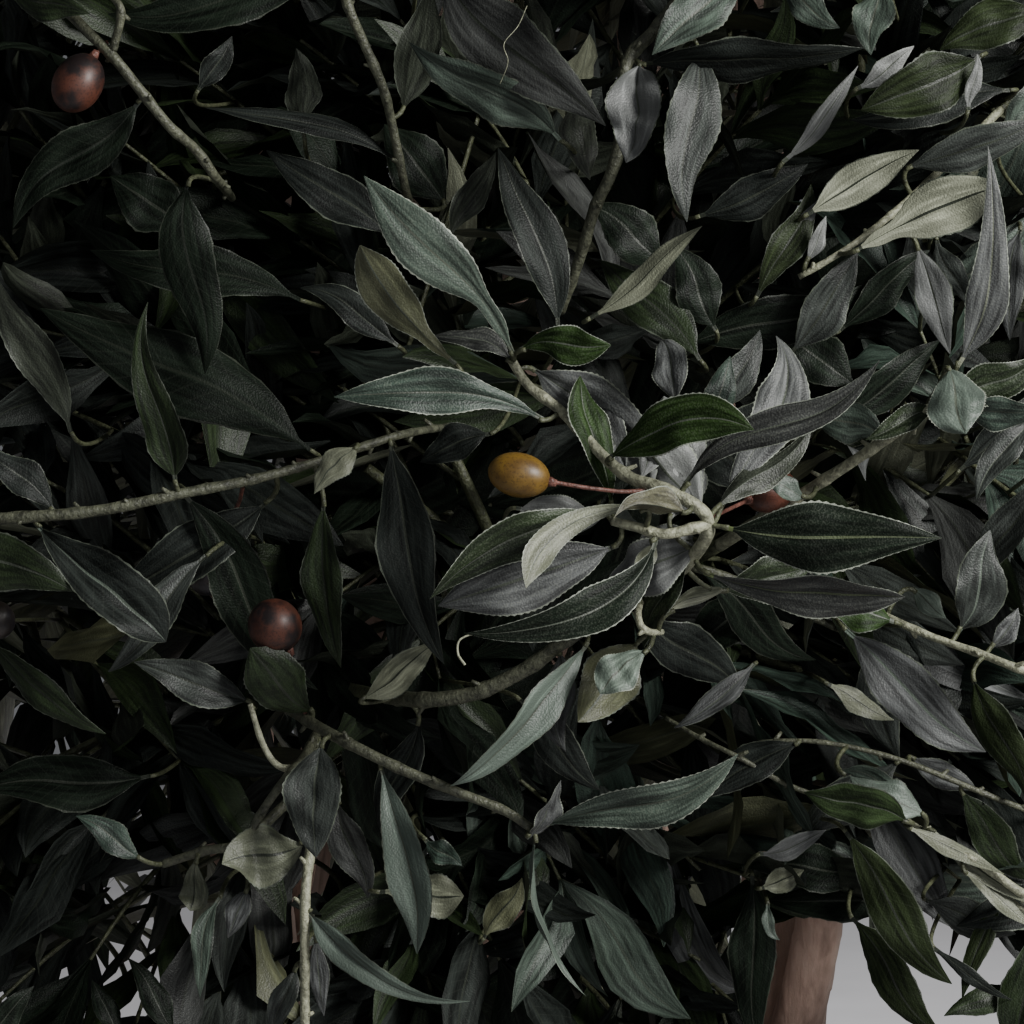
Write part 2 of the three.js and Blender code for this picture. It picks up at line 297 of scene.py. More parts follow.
def leaf_spine(shape, t):
    """Directions along a leaf of unit length, for a frame of heading X, side Y and normal Z."""
    late = np.clip((t - 0.62) / 0.38, 0, 1) ** 2
    bend = shape["bend"] * t**1.3 + shape["hook"] * late
    sway = shape["sway"] * (t - 0.5) + shape["snake"] * np.cos(2 * math.pi * t)
    heading = np.stack([np.cos(bend) * np.cos(sway), np.sin(sway) * np.ones_like(bend),
                        -np.sin(bend) * np.cos(sway)], -1)
    heading /= np.linalg.norm(heading, axis=-1)[..., None]
    normal = np.stack([np.sin(bend), np.zeros_like(bend), np.cos(bend)], -1)
    side = np.cross(normal, heading)
    side /= np.linalg.norm(side, axis=-1)[..., None]
    normal = np.cross(heading, side)
    twist = (shape["twist"] * t)[..., None]
    turned = side * np.cos(twist) + normal * np.sin(twist)
    normal = normal * np.cos(twist) - side * np.sin(twist)
    steps = np.diff(t, axis=-1)[..., None] * (heading[..., 1:, :] + heading[..., :-1, :]) / 2
    spine = np.concatenate([np.zeros_like(steps[..., :1, :]), np.cumsum(steps, axis=-2)], axis=-2)
    return spine, turned, normal


SHAPE_KEYS = ("length", "width", "broad", "point", "bend", "hook", "sway", "snake", "twist", "fold", "cup",
              "wave", "phase", "crumple", "teeth", "neck")


def leaf_blades(leaves, detail):
    """Points of every leaf in one array, each in its own frame."""
    stations, columns = detail
    shape = {key: np.array([leaf[key] for leaf in leaves])[:, None] for key in SHAPE_KEYS}
    t = np.broadcast_to(stations, (len(leaves), len(stations)))
    spine, side, normal = leaf_spine(shape, t)
    spine = spine * shape["length"][..., None]
    x = np.clip((t - 0.05) / 0.95, 0, 1)
    broad = shape["broad"]
    swelling = 1 - (1 - np.minimum(x / broad, 1)) ** 1.8
    tapering = 1 - np.clip((x - broad) / (1 - broad), 0, 1) ** shape["point"]
    narrow = 1 - shape["neck"] * np.exp(-(((x - 0.24) / 0.13) ** 2))
    half = np.maximum(0.5 * shape["width"] * swelling * tapering * narrow, np.where(t < 0.5, 0.0007, 0.00010))
    u = columns[None, None, :]
    v = np.abs(u)
    k = shape["fold"][..., None] * (1.15 - 0.3 * t[..., None])
    slope = k + shape["cup"][..., None] * v / 2
    tooth = (np.arange(len(stations)) % 2) * 2 - 1
    teeth = 1 + shape["teeth"][..., None] * tooth[None, :, None] * (v > 0.99)
    teeth = teeth * (1 + 0.05 * np.sin(9.5 * t[..., None] + 12 * shape["phase"][..., None] + 2.4 * (u > 0)))
    wide = half[..., None] * v * np.sign(u) * np.cos(slope) * teeth
    phase = shape["phase"][..., None]
    tt = t[..., None]
    ripple = shape["wave"][..., None] * v**2 * np.sin(2 * math.pi * (2.3 * tt + phase) + 2.1 * (u > 0))
    ruck = shape["crumple"][..., None] * np.sin(11 * tt + 2.6 * u + 9 * phase)
    ruck = ruck * np.cos(5.2 * u - 8 * tt + 5 * phase)
    high = half[..., None] * (v * np.sin(slope) + ripple + ruck * (1 - 0.4 * v))
    body = LEAF_THICKNESS * np.minimum(1, half[..., None] / 0.002) * (1 - v**4)
    groove = 0.0007 * np.exp(-((u / 0.06) ** 2)) * np.minimum(1, half[..., None] / 0.004)
    lift = normal[:, :, None, :]
    middle = spine[:, :, None, :] + wide[..., None] * side[:, :, None, :] + high[..., None] * lift
    top = middle + lift * (body / 2 - 0.45 * groove)[..., None]
    under = middle - lift * (body / 2 + 0.75 * groove)[..., None]
    edge = np.ones((len(stations), len(columns)), bool)
    edge[1:-1, 1:-1] = False
    top[:, edge] = under[:, edge] = middle[:, edge]
    count = len(leaves)
    return np.concatenate([top.reshape(count, -1, 3), under.reshape(count, -1, 3)], 1)


def add_leaves(builder, leaves, detail, unspeckled=0):
    """Leaves of one detail, each set on its twig by its frame. Unspeckled ones show hardly any specks of dust
    and painted sheen.
    """
    if not leaves:
        return
    faces, kinds = leaf_faces(*detail)
    blades = leaf_blades(leaves, detail)
    along, across = np.meshgrid(*detail, indexing="ij")
    marks = np.tile(np.stack([across.ravel(), along.ravel(), 0 * along.ravel()], 1), (2, 1))
    for leaf, points in zip(leaves, blades):
        heading, normal = leaf["heading"], leaf["normal"]
        side = np.cross(normal, heading)
        placed = points @ np.stack([heading, side, normal]) + leaf["root"]
        cloths = np.array(leaf["skins"])[kinds]
        builder.add(placed, faces, cloths, marks + [0, 0, leaf["phase"] * 0.99 + unspeckled])


def plain_leaf(root, heading, normal, length, skins, draw):
    """A leaf with its own chance turns, folds and ripples."""
    heading = unit(heading)
    normal = unit(normal - heading * np.dot(normal, heading))
    return dict(
        root=root, heading=heading, normal=normal, length=length, skins=skins,
        width=length * (0.24 + 0.09 * draw()), broad=0.34 + 0.16 * draw(), point=1.3 + 0.8 * draw(),
        bend=-0.25 + 1.3 * draw() ** 1.5, hook=1.2 * (draw() - 0.45), sway=0.7 * (draw() - 0.5),
        snake=0.6 * (draw() - 0.5), twist=1.9 * (draw() - 0.5), fold=0.15 + 0.6 * draw(), cup=-0.8 * draw(),
        wave=0.08 + 0.26 * draw(), phase=draw(), crumple=0.03 + 0.10 * draw(), teeth=0.0,
        neck=0.4 * draw() ** 2,
    )


# Cloth colours. Deep is near black: painted shade for leaves in the shaded depths of the crown
COLOURS = {
    "charcoal": (0.014, 0.017, 0.015), "plum": (0.029, 0.031, 0.029), "slate": (0.029, 0.034, 0.030),
    "green": (0.013, 0.022, 0.008), "leafgreen": (0.017, 0.034, 0.009), "teal": (0.026, 0.041, 0.031),
    "sage": (0.044, 0.060, 0.047), "mint": (0.125, 0.160, 0.130), "silver": (0.130, 0.136, 0.132),
    "lilac": (0.070, 0.074, 0.073), "cream": (0.165, 0.176, 0.124), "tan": (0.078, 0.084, 0.046),
    "dull": (0.026, 0.031, 0.022), "deep": (0.007, 0.011, 0.007), "rim": (0.250, 0.272, 0.225),
    "rib": (0.064, 0.074, 0.056), "lime": (0.110, 0.140, 0.055), "pale": (0.085, 0.110, 0.090),
    "lush": (0.019, 0.032, 0.012), "moss": (0.015, 0.022, 0.009), "straw": (0.100, 0.110, 0.074),
    "ash": (0.190, 0.198, 0.190), "chalk": (0.270, 0.285, 0.210), "khaki": (0.072, 0.070, 0.042),
}
SKIN = {name: i for i, name in enumerate(COLOURS)}


def skins(face, under="cream", rim="rim", rib="rib"):
    """Numbers of the colours of a leaf's face, underside, rim and rib."""
    return SKIN[face], SKIN[under], SKIN[rim], SKIN[rib]


SPRAY_SKINS = [
    skins("charcoal", "dull"), skins("green", "cream"), skins("plum", "dull"), skins("sage", "cream"),
    skins("green", "tan"), skins("slate", "cream"), skins("charcoal", "tan"), skins("teal", "cream"),
    skins("green", "tan"), skins("charcoal", "dull"),
]
# Darker colours for where the crown lies in shade, as painted shade, and lighter ones for where it is lit, as
# painted light
SHADY_SKINS = [skins("deep", "dull"), skins("charcoal", "dull"), skins("green", "dull"),
               skins("charcoal", "dull")]
LIT_SKINS = [skins("slate", "cream"), skins("green", "cream"), skins("sage", "cream"), skins("teal", "tan"),
             skins("plum", "dull"), skins("charcoal", "cream"), skins("lilac", "dull")]


# Limbs, by the CAD source's rule

def masses_of(tier_name, order):
    tier = TIERS[tier_name]
    made = []
    for k in range(tier["count"]):
        azimuth = tier["first"] + k * 360 / tier["count"]
        centre = around(azimuth, tier["out"], tier["height"])
        growth = unit(around(azimuth, 1, tier["rise"]))
        name = f"foliage_{tier_name}" + (f"_{k + 1}" if tier["count"] > 1 else "")
        made.append(dict(name=name, tier=tier_name, azimuth=azimuth, centre=centre, growth=growth,
                         reach=tier["reach"], twigs=tier["twigs"], seed=100 * (order + 1) + k,
                         handover=centre - growth * HANDOVER_DEPTH * tier["reach"]))
    return made


low, mid, high, top = (masses_of(name, i) for i, name in enumerate(TIERS))
all_masses = low + mid + high + top
CENTRES = np.array([m["centre"] for m in all_masses])
REACHES = np.array([m["reach"] for m in all_masses])
for i, mass in enumerate(all_masses):
    mass["index"] = i


def room_in(mass, point):
    """How far a point lies inside a mass's own space, which ends where a neighbour's begins."""
    away = ((point - CENTRES) ** 2).sum(1) - REACHES**2
    own = mass["index"]
    room = REACHES[own] - math.sqrt(away[own] + REACHES[own] ** 2)
    apart = 2 * np.linalg.norm(CENTRES - CENTRES[own], axis=1)
    apart[own] = 1
    margins = (away - away[own]) / apart
    margins[own] = room
    return margins.min()


def trunk_swell(share, angles):
    flare = (TRUNK_BASE_RADIUS - TRUNK_WAIST_RADIUS) * math.exp(-share * 7)
    lobes = 1 + (0.05 + 0.11 * math.exp(-share * 5)) * np.cos(4 * angles + 2.2 * share)
    flutes = 1 + 0.022 * np.cos(11 * angles + 5 * share) + 0.015 * np.cos(19 * angles - 3 * share)
    return (TRUNK_WAIST_RADIUS + flare + 0.009 * share**3) * lobes * flutes


def limb_lines():
    """Centre lines and end radii of the trunk's limbs."""
    lines = []
    for k, mass in enumerate(mid):
        start = TRUNK_TOP + around(mass["azimuth"], 0.023, -0.046 + 0.009 * (k % 3))
        bends = [around(*bend) for bend in BOUGH_BENDS[k]]
        lines.append((curve_points([start, *bends, mass["handover"]], 101), BOUGH_RADII))
    boughs = [line for line, _ in lines]
    for k, mass in enumerate(low):
        start = boughs[k][27]
        halfway = (start + mass["handover"]) / 2 + around(mass["azimuth"] + 18, 0.016, -0.012)
        lines.append((curve_points([start, halfway, mass["handover"]], 61), OFFSHOOT_RADII))
    for k, mass in enumerate(high + top):
        start = boughs[k][62 if mass["tier"] == "top" else 72]
        rising = start + (mass["handover"] - start) * 0.45 + np.array([0, 0, 0.030])
        lines.append((curve_points([start, rising, mass["handover"]], 61), OFFSHOOT_RADII))
    return lines


LIMBS = limb_lines()
LIMB_POINTS = np.concatenate([line for line, _ in LIMBS])
LIMB_RADII = np.concatenate([np.linspace(*radii, len(line)) for line, radii in LIMBS])


def clear_of_limbs(point, margin):
    return (np.linalg.norm(LIMB_POINTS - point, axis=1) > LIMB_RADII + margin).all()


# Foliage by the rule. What stands between the camera and the placed sprays is left out, and so is what would
# close the openings that the photograph shows.

PLACED_DEPTH = 0.052
TWIG_DEPTH = PLACED_DEPTH + 0.03
SPRAY_DEPTH = 0.034
CLOSE_DEPTH = 0.25  # leaves before this depth have the finer mesh
VIEW_MARGIN = 30
# The photograph's dark upper left corner: its right and bottom in pixels, and how deep it reaches in metres
# Leaves in it take the shady colours, as painted shade
DARK_CORNER = (430, 470, 0.3)
# How far twigs and leaves keep from the edge of their mass's space, and from the limbs
TWIG_ROOM, TWIG_CLEARANCE = 0.026, 0.010
SIDE_TWIG_ROOM, SIDE_TWIG_CLEARANCE = 0.012, 0.008
TIP_ROOM, TIP_CLEARANCE = 0.002, 0.006
MIDDLE_ROOM, MIDDLE_CLEARANCE = 0.006, 0.008
SPRAY_CLEARANCE = 0.004
SHORTEST_TWIG, SHORTEST_SIDE_TWIG = 0.050, 0.03
# Where the photograph looks past the crown, to the floor and one bough: left, right, top and bottom in pixels
OPENINGS = [(822, 1012, 930, 1130), (758, 824, 912, 1130)]
# Small gaps that the floor shines through, as middle and radius in pixels, and the corner they lie in
GLINTS = [(22, 714, 5), (64, 756, 6), (152, 862, 7), (104, 958, 6), (148, 1000, 6)]
GLINTS_RIGHT, GLINTS_TOP = 260, 660
GLINT_LEAF_HALF = 0.0085


def in_opening(x, y):
    return any(left < x < right and top_row < y < bottom for left, right, top_row, bottom in OPENINGS)


def hides_glint(root, tip):
    """Whether a leaf would stand in front of one of the small gaps that the floor shines through."""
    (ax, ay, depth), (bx, by, _) = seen_at(root), seen_at(tip)
    if min(ax, bx) > GLINTS_RIGHT or max(ay, by) < GLINTS_TOP:
        return False
    half = GLINT_LEAF_HALF / pixel_at(depth)
    for x, y, radius in GLINTS:
        share = ((x - ax) * (bx - ax) + (y - ay) * (by - ay)) / ((bx - ax) ** 2 + (by - ay) ** 2 + 1e-6)
        share = min(max(share, 0), 1)
        off = math.hypot(ax + (bx - ax) * share - x, ay + (by - ay) * share - y)
        if off < radius + 0.7 * half * math.sin(math.pi * share):
            return True
    return False


BEYOND_BOX = 0.020  # how far a leaf may stand past the CAD box
LOW_REACH = np.array(cad_box[0]) - BEYOND_BOX
HIGH_REACH = np.array(cad_box[1]) + BEYOND_BOX


def open_to_view(points):
    """Whether a leaf keeps within the frame's reach and out of the openings that the camera looks through."""
    for point in points:
        if (point < LOW_REACH).any() or (point > HIGH_REACH).any():
            return False
        x, y, depth = seen_at(point)
        if in_view(x, y, VIEW_MARGIN) and depth < PLACED_DEPTH:
            return False
        if in_opening(x, y):
            return False
    return not hides_glint(points[0], points[-1])


def clear_run(line):
    """How many of a twig's points come before it stands in front of the placed sprays or in an opening."""
    for i, point in enumerate(line):
        x, y, depth = seen_at(point)
        if in_view(x, y, VIEW_MARGIN) and depth < TWIG_DEPTH or in_opening(x, y):
            return i
    return len(line)


def detail_for(point):
    x, y, depth = seen_at(point)
    return "medium" if in_view(x, y, 2 * VIEW_MARGIN) and depth < CLOSE_DEPTH else "coarse"


class Foliage:
    """What grows by the rules, kept until the meshes are built."""

    def __init__(self):
        self.leaves = {"medium": [], "coarse": []}
        self.twigs = []  # points, radii, sides
        self.olives = []  # place, direction, size, skin
        self.fill_roots = []  # place and direction where a spray of the view runs back into the crown


def leafy(mass, foliage, line, seed, first, spacing=NODE_SPACING):
    """Leaves in crossed pairs along a twig, and a pair and a leaf at its tip."""
    draw = seeded(seed)
    length = np.linalg.norm(np.diff(line, axis=0), axis=1).sum()
    nodes = max(1, int(length * (1 - first) / spacing))
    colour = SPRAY_SKINS[int(draw() * len(SPRAY_SKINS))]
    other = SPRAY_SKINS[int(draw() * len(SPRAY_SKINS))]
    for node in range(nodes + 1):
        share = first + (1 - first) * node / nodes
        root, along = at_share(line, share)
        last = node == nodes
        turns = (0, math.pi) if not last else (0, 2.1, 4.2)
        for turn in turns:
            tilt = (0.95 if not last else 0.55) + 0.5 * (draw() - 0.5)
            heading = spread(along, node * math.pi / 2 + turn + 0.7 * (draw() - 0.5) + seed, tilt)
            heading = unit(heading + np.array([0, 0, -0.22 * draw()]))
            size = LEAF_LENGTH * (0.72 + 0.42 * draw()) * (0.9 if last else 1)
            toward = unit(root - mass["centre"] + UP * 0.1)
            normal = UP * 0.8 + toward * 0.5 + jitter(draw) * 1.5
            tip = root + heading * size
            middle = root + heading * size * 0.5
            skin = colour if draw() < 0.75 else other
            x, y, depth = seen_at(middle)
            # Leaves in the dark upper left corner take the shady colours: painted shade
            right, bottom, deepest = DARK_CORNER
            if x < right and y < bottom and depth < deepest:
                skin = SHADY_SKINS[int(draw() * 2)]
            leaf = plain_leaf(root, heading, normal, size, skin, draw)
            if room_in(mass, tip) < TIP_ROOM or room_in(mass, middle) < MIDDLE_ROOM:
                continue
            if not (clear_of_limbs(tip, TIP_CLEARANCE) and clear_of_limbs(middle, MIDDLE_CLEARANCE)):
                continue
            if open_to_view((root, middle, tip)):
                foliage.leaves[detail_for(middle)].append(leaf)


def free_length(mass, start, heading, steps, room, clearance):
    """The last of the steps that a twig can take before it nears the edge of its mass's space or a limb."""
    length = 0
    for step in steps:
        point = start + heading * step
        if room_in(mass, point) < room or not clear_of_limbs(point, clearance):
            break
        length = step
    return length


def grow_mass(mass, foliage):
    """A mass's stem, its twigs with their side twigs and leaves, and now and then an olive."""
    start = mass["handover"] - mass["growth"] * 0.002
    end = mass["centre"] + mass["growth"] * 0.42 * mass["reach"]
    foliage.twigs.append((np.linspace(start, end, 12), np.linspace(0.0052, 0.0022, 12), 8))
    for k in range(2 * mass["twigs"]):
        between = k % 2  # the twigs between those of the CAD source
        draw = seeded(1000 * mass["seed"] + k // 2 + 500 * between)
        share = (k // 2 + 0.5 + 0.5 * between) / mass["twigs"]
        root = start + (end - start) * (0.12 + 0.86 * min(share, 0.99))
        tilt = math.radians(122 - 100 * share + 14 * (draw() - 0.5))
        heading = spread(mass["growth"], k // 2 * GOLDEN_ANGLE + mass["seed"] + 2.9 * between, tilt)
        length = free_length(mass, root, heading, np.arange(0.020, 0.301, 0.010), TWIG_ROOM, TWIG_CLEARANCE)
        if length < SHORTEST_TWIG:
            continue
        tip = root + heading * length
        line = bezier(root, (root + tip) / 2 + UP * 0.06 * length, tip, 14)
        shown = clear_run(line)
        if shown > 3:
            foliage.twigs.append((line[:shown], np.linspace(0.0022, 0.0011, 14)[:shown], 6))
        leafy(mass, foliage, line, 7000 * mass["seed"] + 31 * k, 0.3)
        for s in range(SIDE_TWIGS):
            place = 0.14 + 0.72 * s / (SIDE_TWIGS - 1)
            i = int(place * 13)
            along = unit(line[i + 1] - line[i])
            aside = spread(along, s * GOLDEN_ANGLE + k, 0.85 + 0.5 * (draw() - 0.5))
            reach = 0.075 + 0.075 * draw()
            steps = np.arange(0.015, reach, 0.010)
            out = free_length(mass, line[i], aside, steps, SIDE_TWIG_ROOM, SIDE_TWIG_CLEARANCE)
            if out < SHORTEST_SIDE_TWIG:
                continue
            end_point = line[i] + aside * out
            sag = UP * out * (0.16 * draw() - 0.10)
            side_line = bezier(line[i], (line[i] + end_point) / 2 + sag, end_point, 8)
            if not open_to_view((side_line[2], side_line[5], side_line[7])):
                continue
            foliage.twigs.append((side_line[::2] if out < 0.06 else side_line, 0.0009, 4))
            leafy(mass, foliage, side_line, 9000 * mass["seed"] + 97 * k + 13 * s, 0.2)
        if k % 5 == 2:
            hang = unit(spread(unit(line[9] - line[8]), 6 * draw(), 1.2) - UP * 0.8)
            if open_to_view((line[9], line[9] + hang * 0.02, line[9] + hang * 0.03)):
                foliage.olives.append((line[9], hang, 0.0165 + 0.003 * draw(), int(draw() * 3)))


# Sprays behind the placed ones, each a twig from root to tip as x, y and depth in mm, and its colours

# DEEP sprays take the shady colours as painted shade, LIT ones the lighter colours as painted light
DEEP, MIXED, LIT = SHADY_SKINS, SPRAY_SKINS, LIT_SKINS
SPRAYS = [
    # upper right
    ((690, 330, 110), (860, 200, 70), DEEP), ((780, 380, 120), (960, 250, 80), DEEP),
    ((860, 420, 120), (1040, 290, 70), LIT), ((740, 250, 130), (900, 90, 80), DEEP),
    ((840, 180, 130), (1010, 60, 80), LIT), ((640, 240, 120), (760, 110, 80), DEEP),
    ((600, 160, 130), (700, 30, 90), MIXED), ((900, 330, 110), (1050, 200, 80), LIT),
    ((980, 470, 100), (920, 330, 80), LIT),
    ((1040, 150, 110), (900, 30, 70), LIT), ((760, 120, 140), (880, -20, 90), MIXED),
    ((1060, 60, 120), (960, -30, 80), LIT), ((980, 380, 110), (1080, 330, 80), LIT),
    # upper middle
    ((560, 260, 120), (480, 110, 80), DEEP), ((470, 280, 130), (540, 60, 90), DEEP),
    ((520, 180, 130), (400, 20, 90), DEEP), ((430, 160, 130), (300, 40, 100), DEEP),
    ((640, 90, 130), (560, -30, 90), MIXED), ((470, 340, 110), (360, 210, 90), DEEP),
    # upper left
    ((330, 180, 140), (180, 60, 100), DEEP), ((260, 260, 140), (120, 140, 100), DEEP),
    ((220, 150, 130), (200, 330, 90), DEEP), ((120, 240, 140), (20, 110, 100), DEEP),
    ((60, 330, 140), (-30, 200, 100), DEEP), ((320, 330, 150), (160, 260, 110), DEEP),
    ((150, 60, 140), (40, -20, 100), DEEP), ((300, 100, 150), (240, -30, 110), DEEP),
    # left
    ((300, 450, 110), (40, 330, 80), DEEP), ((0, 380, 110), (180, 460, 70), DEEP),
    ((330, 420, 130), (180, 350, 90), DEEP), ((440, 330, 130), (300, 240, 100), DEEP),
    ((160, 560, 110), (20, 470, 70), DEEP), ((260, 540, 110), (330, 680, 70), DEEP),
    ((390, 460, 110), (440, 680, 70), DEEP), ((60, 620, 110), (180, 760, 70), DEEP),
    ((460, 520, 130), (330, 600, 90), MIXED), ((220, 640, 120), (80, 540, 90), MIXED),
    # middle
    ((640, 420, 90), (520, 380, 60), MIXED), ((720, 400, 100), (620, 300, 70), MIXED),
    ((760, 480, 100), (840, 560, 70), MIXED), ((560, 560, 100), (420, 640, 70), DEEP),
    ((520, 440, 120), (400, 330, 90), DEEP), ((620, 600, 90), (740, 690, 60), LIT),
    # right
    ((800, 440, 100), (960, 520, 70), LIT), ((860, 500, 100), (1020, 590, 70), LIT),
    ((940, 440, 90), (1050, 520, 60), LIT), ((720, 560, 90), (880, 640, 70), LIT),
    # lower right
    ((740, 600, 100), (960, 760, 70), MIXED), ((840, 590, 100), (1040, 730, 70), LIT),
    ((700, 640, 110), (860, 780, 80), LIT), ((640, 700, 110), (800, 820, 80), LIT),
    ((880, 720, 100), (1040, 860, 70), LIT), ((800, 780, 100), (960, 880, 70), MIXED),
    ((700, 780, 110), (880, 880, 80), DEEP), ((560, 740, 110), (700, 870, 80), LIT),
    ((600, 820, 110), (760, 880, 80), DEEP), ((900, 840, 110), (1060, 940, 80), LIT),
    ((1090, 940, 110), (1034, 1060, 80), MIXED), ((1110, 850, 100), (1010, 900, 70), LIT),
    ((740, 700, 120), (900, 700, 90), MIXED), ((1060, 900, 110), (1020, 1020, 90), MIXED),
    # below
    ((480, 740, 110), (560, 880, 80), MIXED), ((420, 800, 110), (500, 960, 80), DEEP),
    ((610, 860, 110), (520, 780, 80), LIT), ((560, 880, 120), (700, 960, 90), DEEP),
    ((640, 930, 120), (740, 1010, 90), DEEP),
    ((460, 900, 110), (380, 1020, 80), DEEP), ((560, 960, 110), (640, 1050, 80), DEEP),
    ((700, 860, 120), (620, 1000, 90), DEEP), ((700, 930, 130), (600, 900, 100), DEEP),
    ((560, 800, 130), (460, 860, 100), DEEP), ((640, 800, 130), (540, 780, 100), DEEP),
    # lower left
    ((330, 760, 110), (220, 900, 70), MIXED), ((260, 700, 110), (100, 820, 70), MIXED),
    ((160, 720, 110), (20, 820, 80), DEEP), ((200, 830, 110), (90, 960, 80), DEEP),
    ((260, 900, 110), (200, 1040, 80), MIXED), ((120, 900, 120), (0, 1000, 80), DEEP),
    ((340, 900, 110), (280, 1040, 80), DEEP), ((60, 760, 120), (-30, 900, 80), DEEP),
    ((380, 860, 110), (440, 1020, 80), DEEP), ((120, 1000, 130), (60, 1080, 100), DEEP),
    ((150, 960, 130), (80, 870, 100), DEEP),
    ((30, 960, 130), (110, 1050, 100), DEEP), ((420, 930, 120), (380, 1050, 90), DEEP),
    ((700, 950, 130), (736, 1060, 100), DEEP), ((736, 890, 130), (700, 1020, 100), DEEP),
    ((180, 900, 120), (130, 1040, 90), DEEP), ((60, 880, 120), (20, 780, 90), DEEP),
]


def grow_spray(foliage, root, tip, palette, seed):
    """Leaves in pairs that point along their twig and show their faces to the front."""
    draw = seeded(seed)
    start, end = at_pixel(*root), at_pixel(*tip)
    length = np.linalg.norm(end - start)
    line = bezier(start, (start + end) / 2 + UP * length * (0.2 * draw() - 0.04), end, 12)
    foliage.twigs.append((line, np.linspace(0.0011, 0.0006, 12), 6))
    foliage.fill_roots.append((line[0], line[0] - line[1]))
    nodes = max(3, round(length / 0.017))
    palette_skin = palette[int(draw() * len(palette))]
    for node in range(nodes + 1):
        share = 0.06 + 0.94 * node / nodes
        place, along = at_share(line, share)
        last = node == nodes
        for turn in ((0, math.pi) if not last else (0.3, 2.4, 4.5)):
            tilt = (0.62 if not last else 0.3) + 0.5 * (draw() - 0.5)
            heading = spread(along, node * 1.1 + turn + 0.8 * (draw() - 0.5) + seed, tilt)
            heading = unit(heading + np.array([0, 0.10, -0.12 * draw()]))
            size = LEAF_LENGTH * (0.62 + 0.42 * draw())
            normal = np.array([0.15, -0.65, 0.55]) + jitter(draw) * 1.5
            skin = palette_skin if draw() < 0.6 else palette[int(draw() * len(palette))]
            leaf = plain_leaf(place, heading, normal, size, skin, draw)
            points = (place, place + heading * size * 0.5, place + heading * size)
            seen = [seen_at(point) for point in points]
            if any(in_opening(x, y) or depth < SPRAY_DEPTH for x, y, depth in seen):
                continue
            if hides_glint(points[0], points[-1]):
                continue
            if all(clear_of_limbs(point, SPRAY_CLEARANCE) for point in points):
                foliage.leaves["medium"].append(leaf)


# Dark leaves far in, near black as painted shade, where one would look on wood or past the crown: their
# middle in pixels, and the way they point in degrees
SHADES = [
    (472, 650, 60), (620, 210, 100), (428, 482, 20), (698, 260, 80), (446, 934, 80), (466, 120, 30),
    (276, 510, 150), (68, 282, 70), (1018, 326, 90), (444, 800, 110), (506, 698, 10), (626, 314, 40),
    (622, 536, 70), (590, 180, 60), (588, 470, 20), (584, 590, 90), (516, 502, 160), (456, 504, 60),
    (732, 518, 20), (600, 300, 130), (472, 416, 20), (352, 378, 100), (292, 522, 60), (120, 210, 20),
    (956, 308, 60), (654, 190, 80), (652, 240, 100), (340, 494, 170), (330, 500, 20), (850, 268, 60),
    (852, 290, 120), (290, 324, 60), (436, 102, 100), (722, 250, 80), (222, 722, 30), (734, 306, 20),
    (276, 248, 140), (252, 322, 60), (304, 432, 10), (212, 654, 60), (414, 358, 40), (716, 494, 150),
    (354, 538, 10), (806, 480, 30), (534, 496, 0), (560, 606, 30), (346, 900, 90), (704, 632, 60),
    (694, 384, 80), (690, 576, 20), (866, 468, 30), (692, 700, 20), (268, 188, 40), (654, 400, 60),
    (524, 154, 100), (136, 1010, 70), (206, 122, 30), (506, 664, 50), (32, 314, 80), (760, 374, 90),
    (928, 10, 20), (338, 114, 30), (336, 262, 50), (120, 390, 30), (4, 504, 20), (302, 8, 20),
    (98, 294, 20), (202, 56, 60), (854, 354, 40), (502, 226, 20), (290, 402, 20), (412, 1018, 80),
    (728, 996, 80), (2, 368, 80), (738, 352, 120),
]
SHADE_DEPTH = 118
SHADE_SCALE = 1.13  # how much wider the camera sees a pixel at that depth


def add_shade(foliage, x, y, turn, seed):
    draw = seeded(seed)
    angle = math.radians(turn + (180 if x * 0.7 + y < 700 else 0))
    half = LEAF_LENGTH * 0.52 / PIXEL / SHADE_SCALE
    root, tip = (at_pixel(x - side * half * math.cos(angle), y + side * half * math.sin(angle),
                          SHADE_DEPTH + 8 * draw()) for side in (1, -1))
    if hides_glint(root, tip):
        return
    normal = np.array([0.2 * draw() - 0.1, -1, 0.3 * draw() + 0.1])
    # The leaf takes the near-black deep colour: painted shade
    leaf = plain_leaf(root, tip - root, normal, np.linalg.norm(tip - root), SHADY_SKINS[0], draw)
    leaf.update(width=0.0215, bend=0.2, hook=0.1, sway=0.1, twist=0.1, fold=0.2, neck=0.0)
    foliage.leaves["medium"].append(leaf)
    foliage.fill_roots.append((root, root - tip))


# Stems placed by the photograph's pixels, the root end last: points as x, y and depth in mm, then the radii
# at the tip and at the root in mm

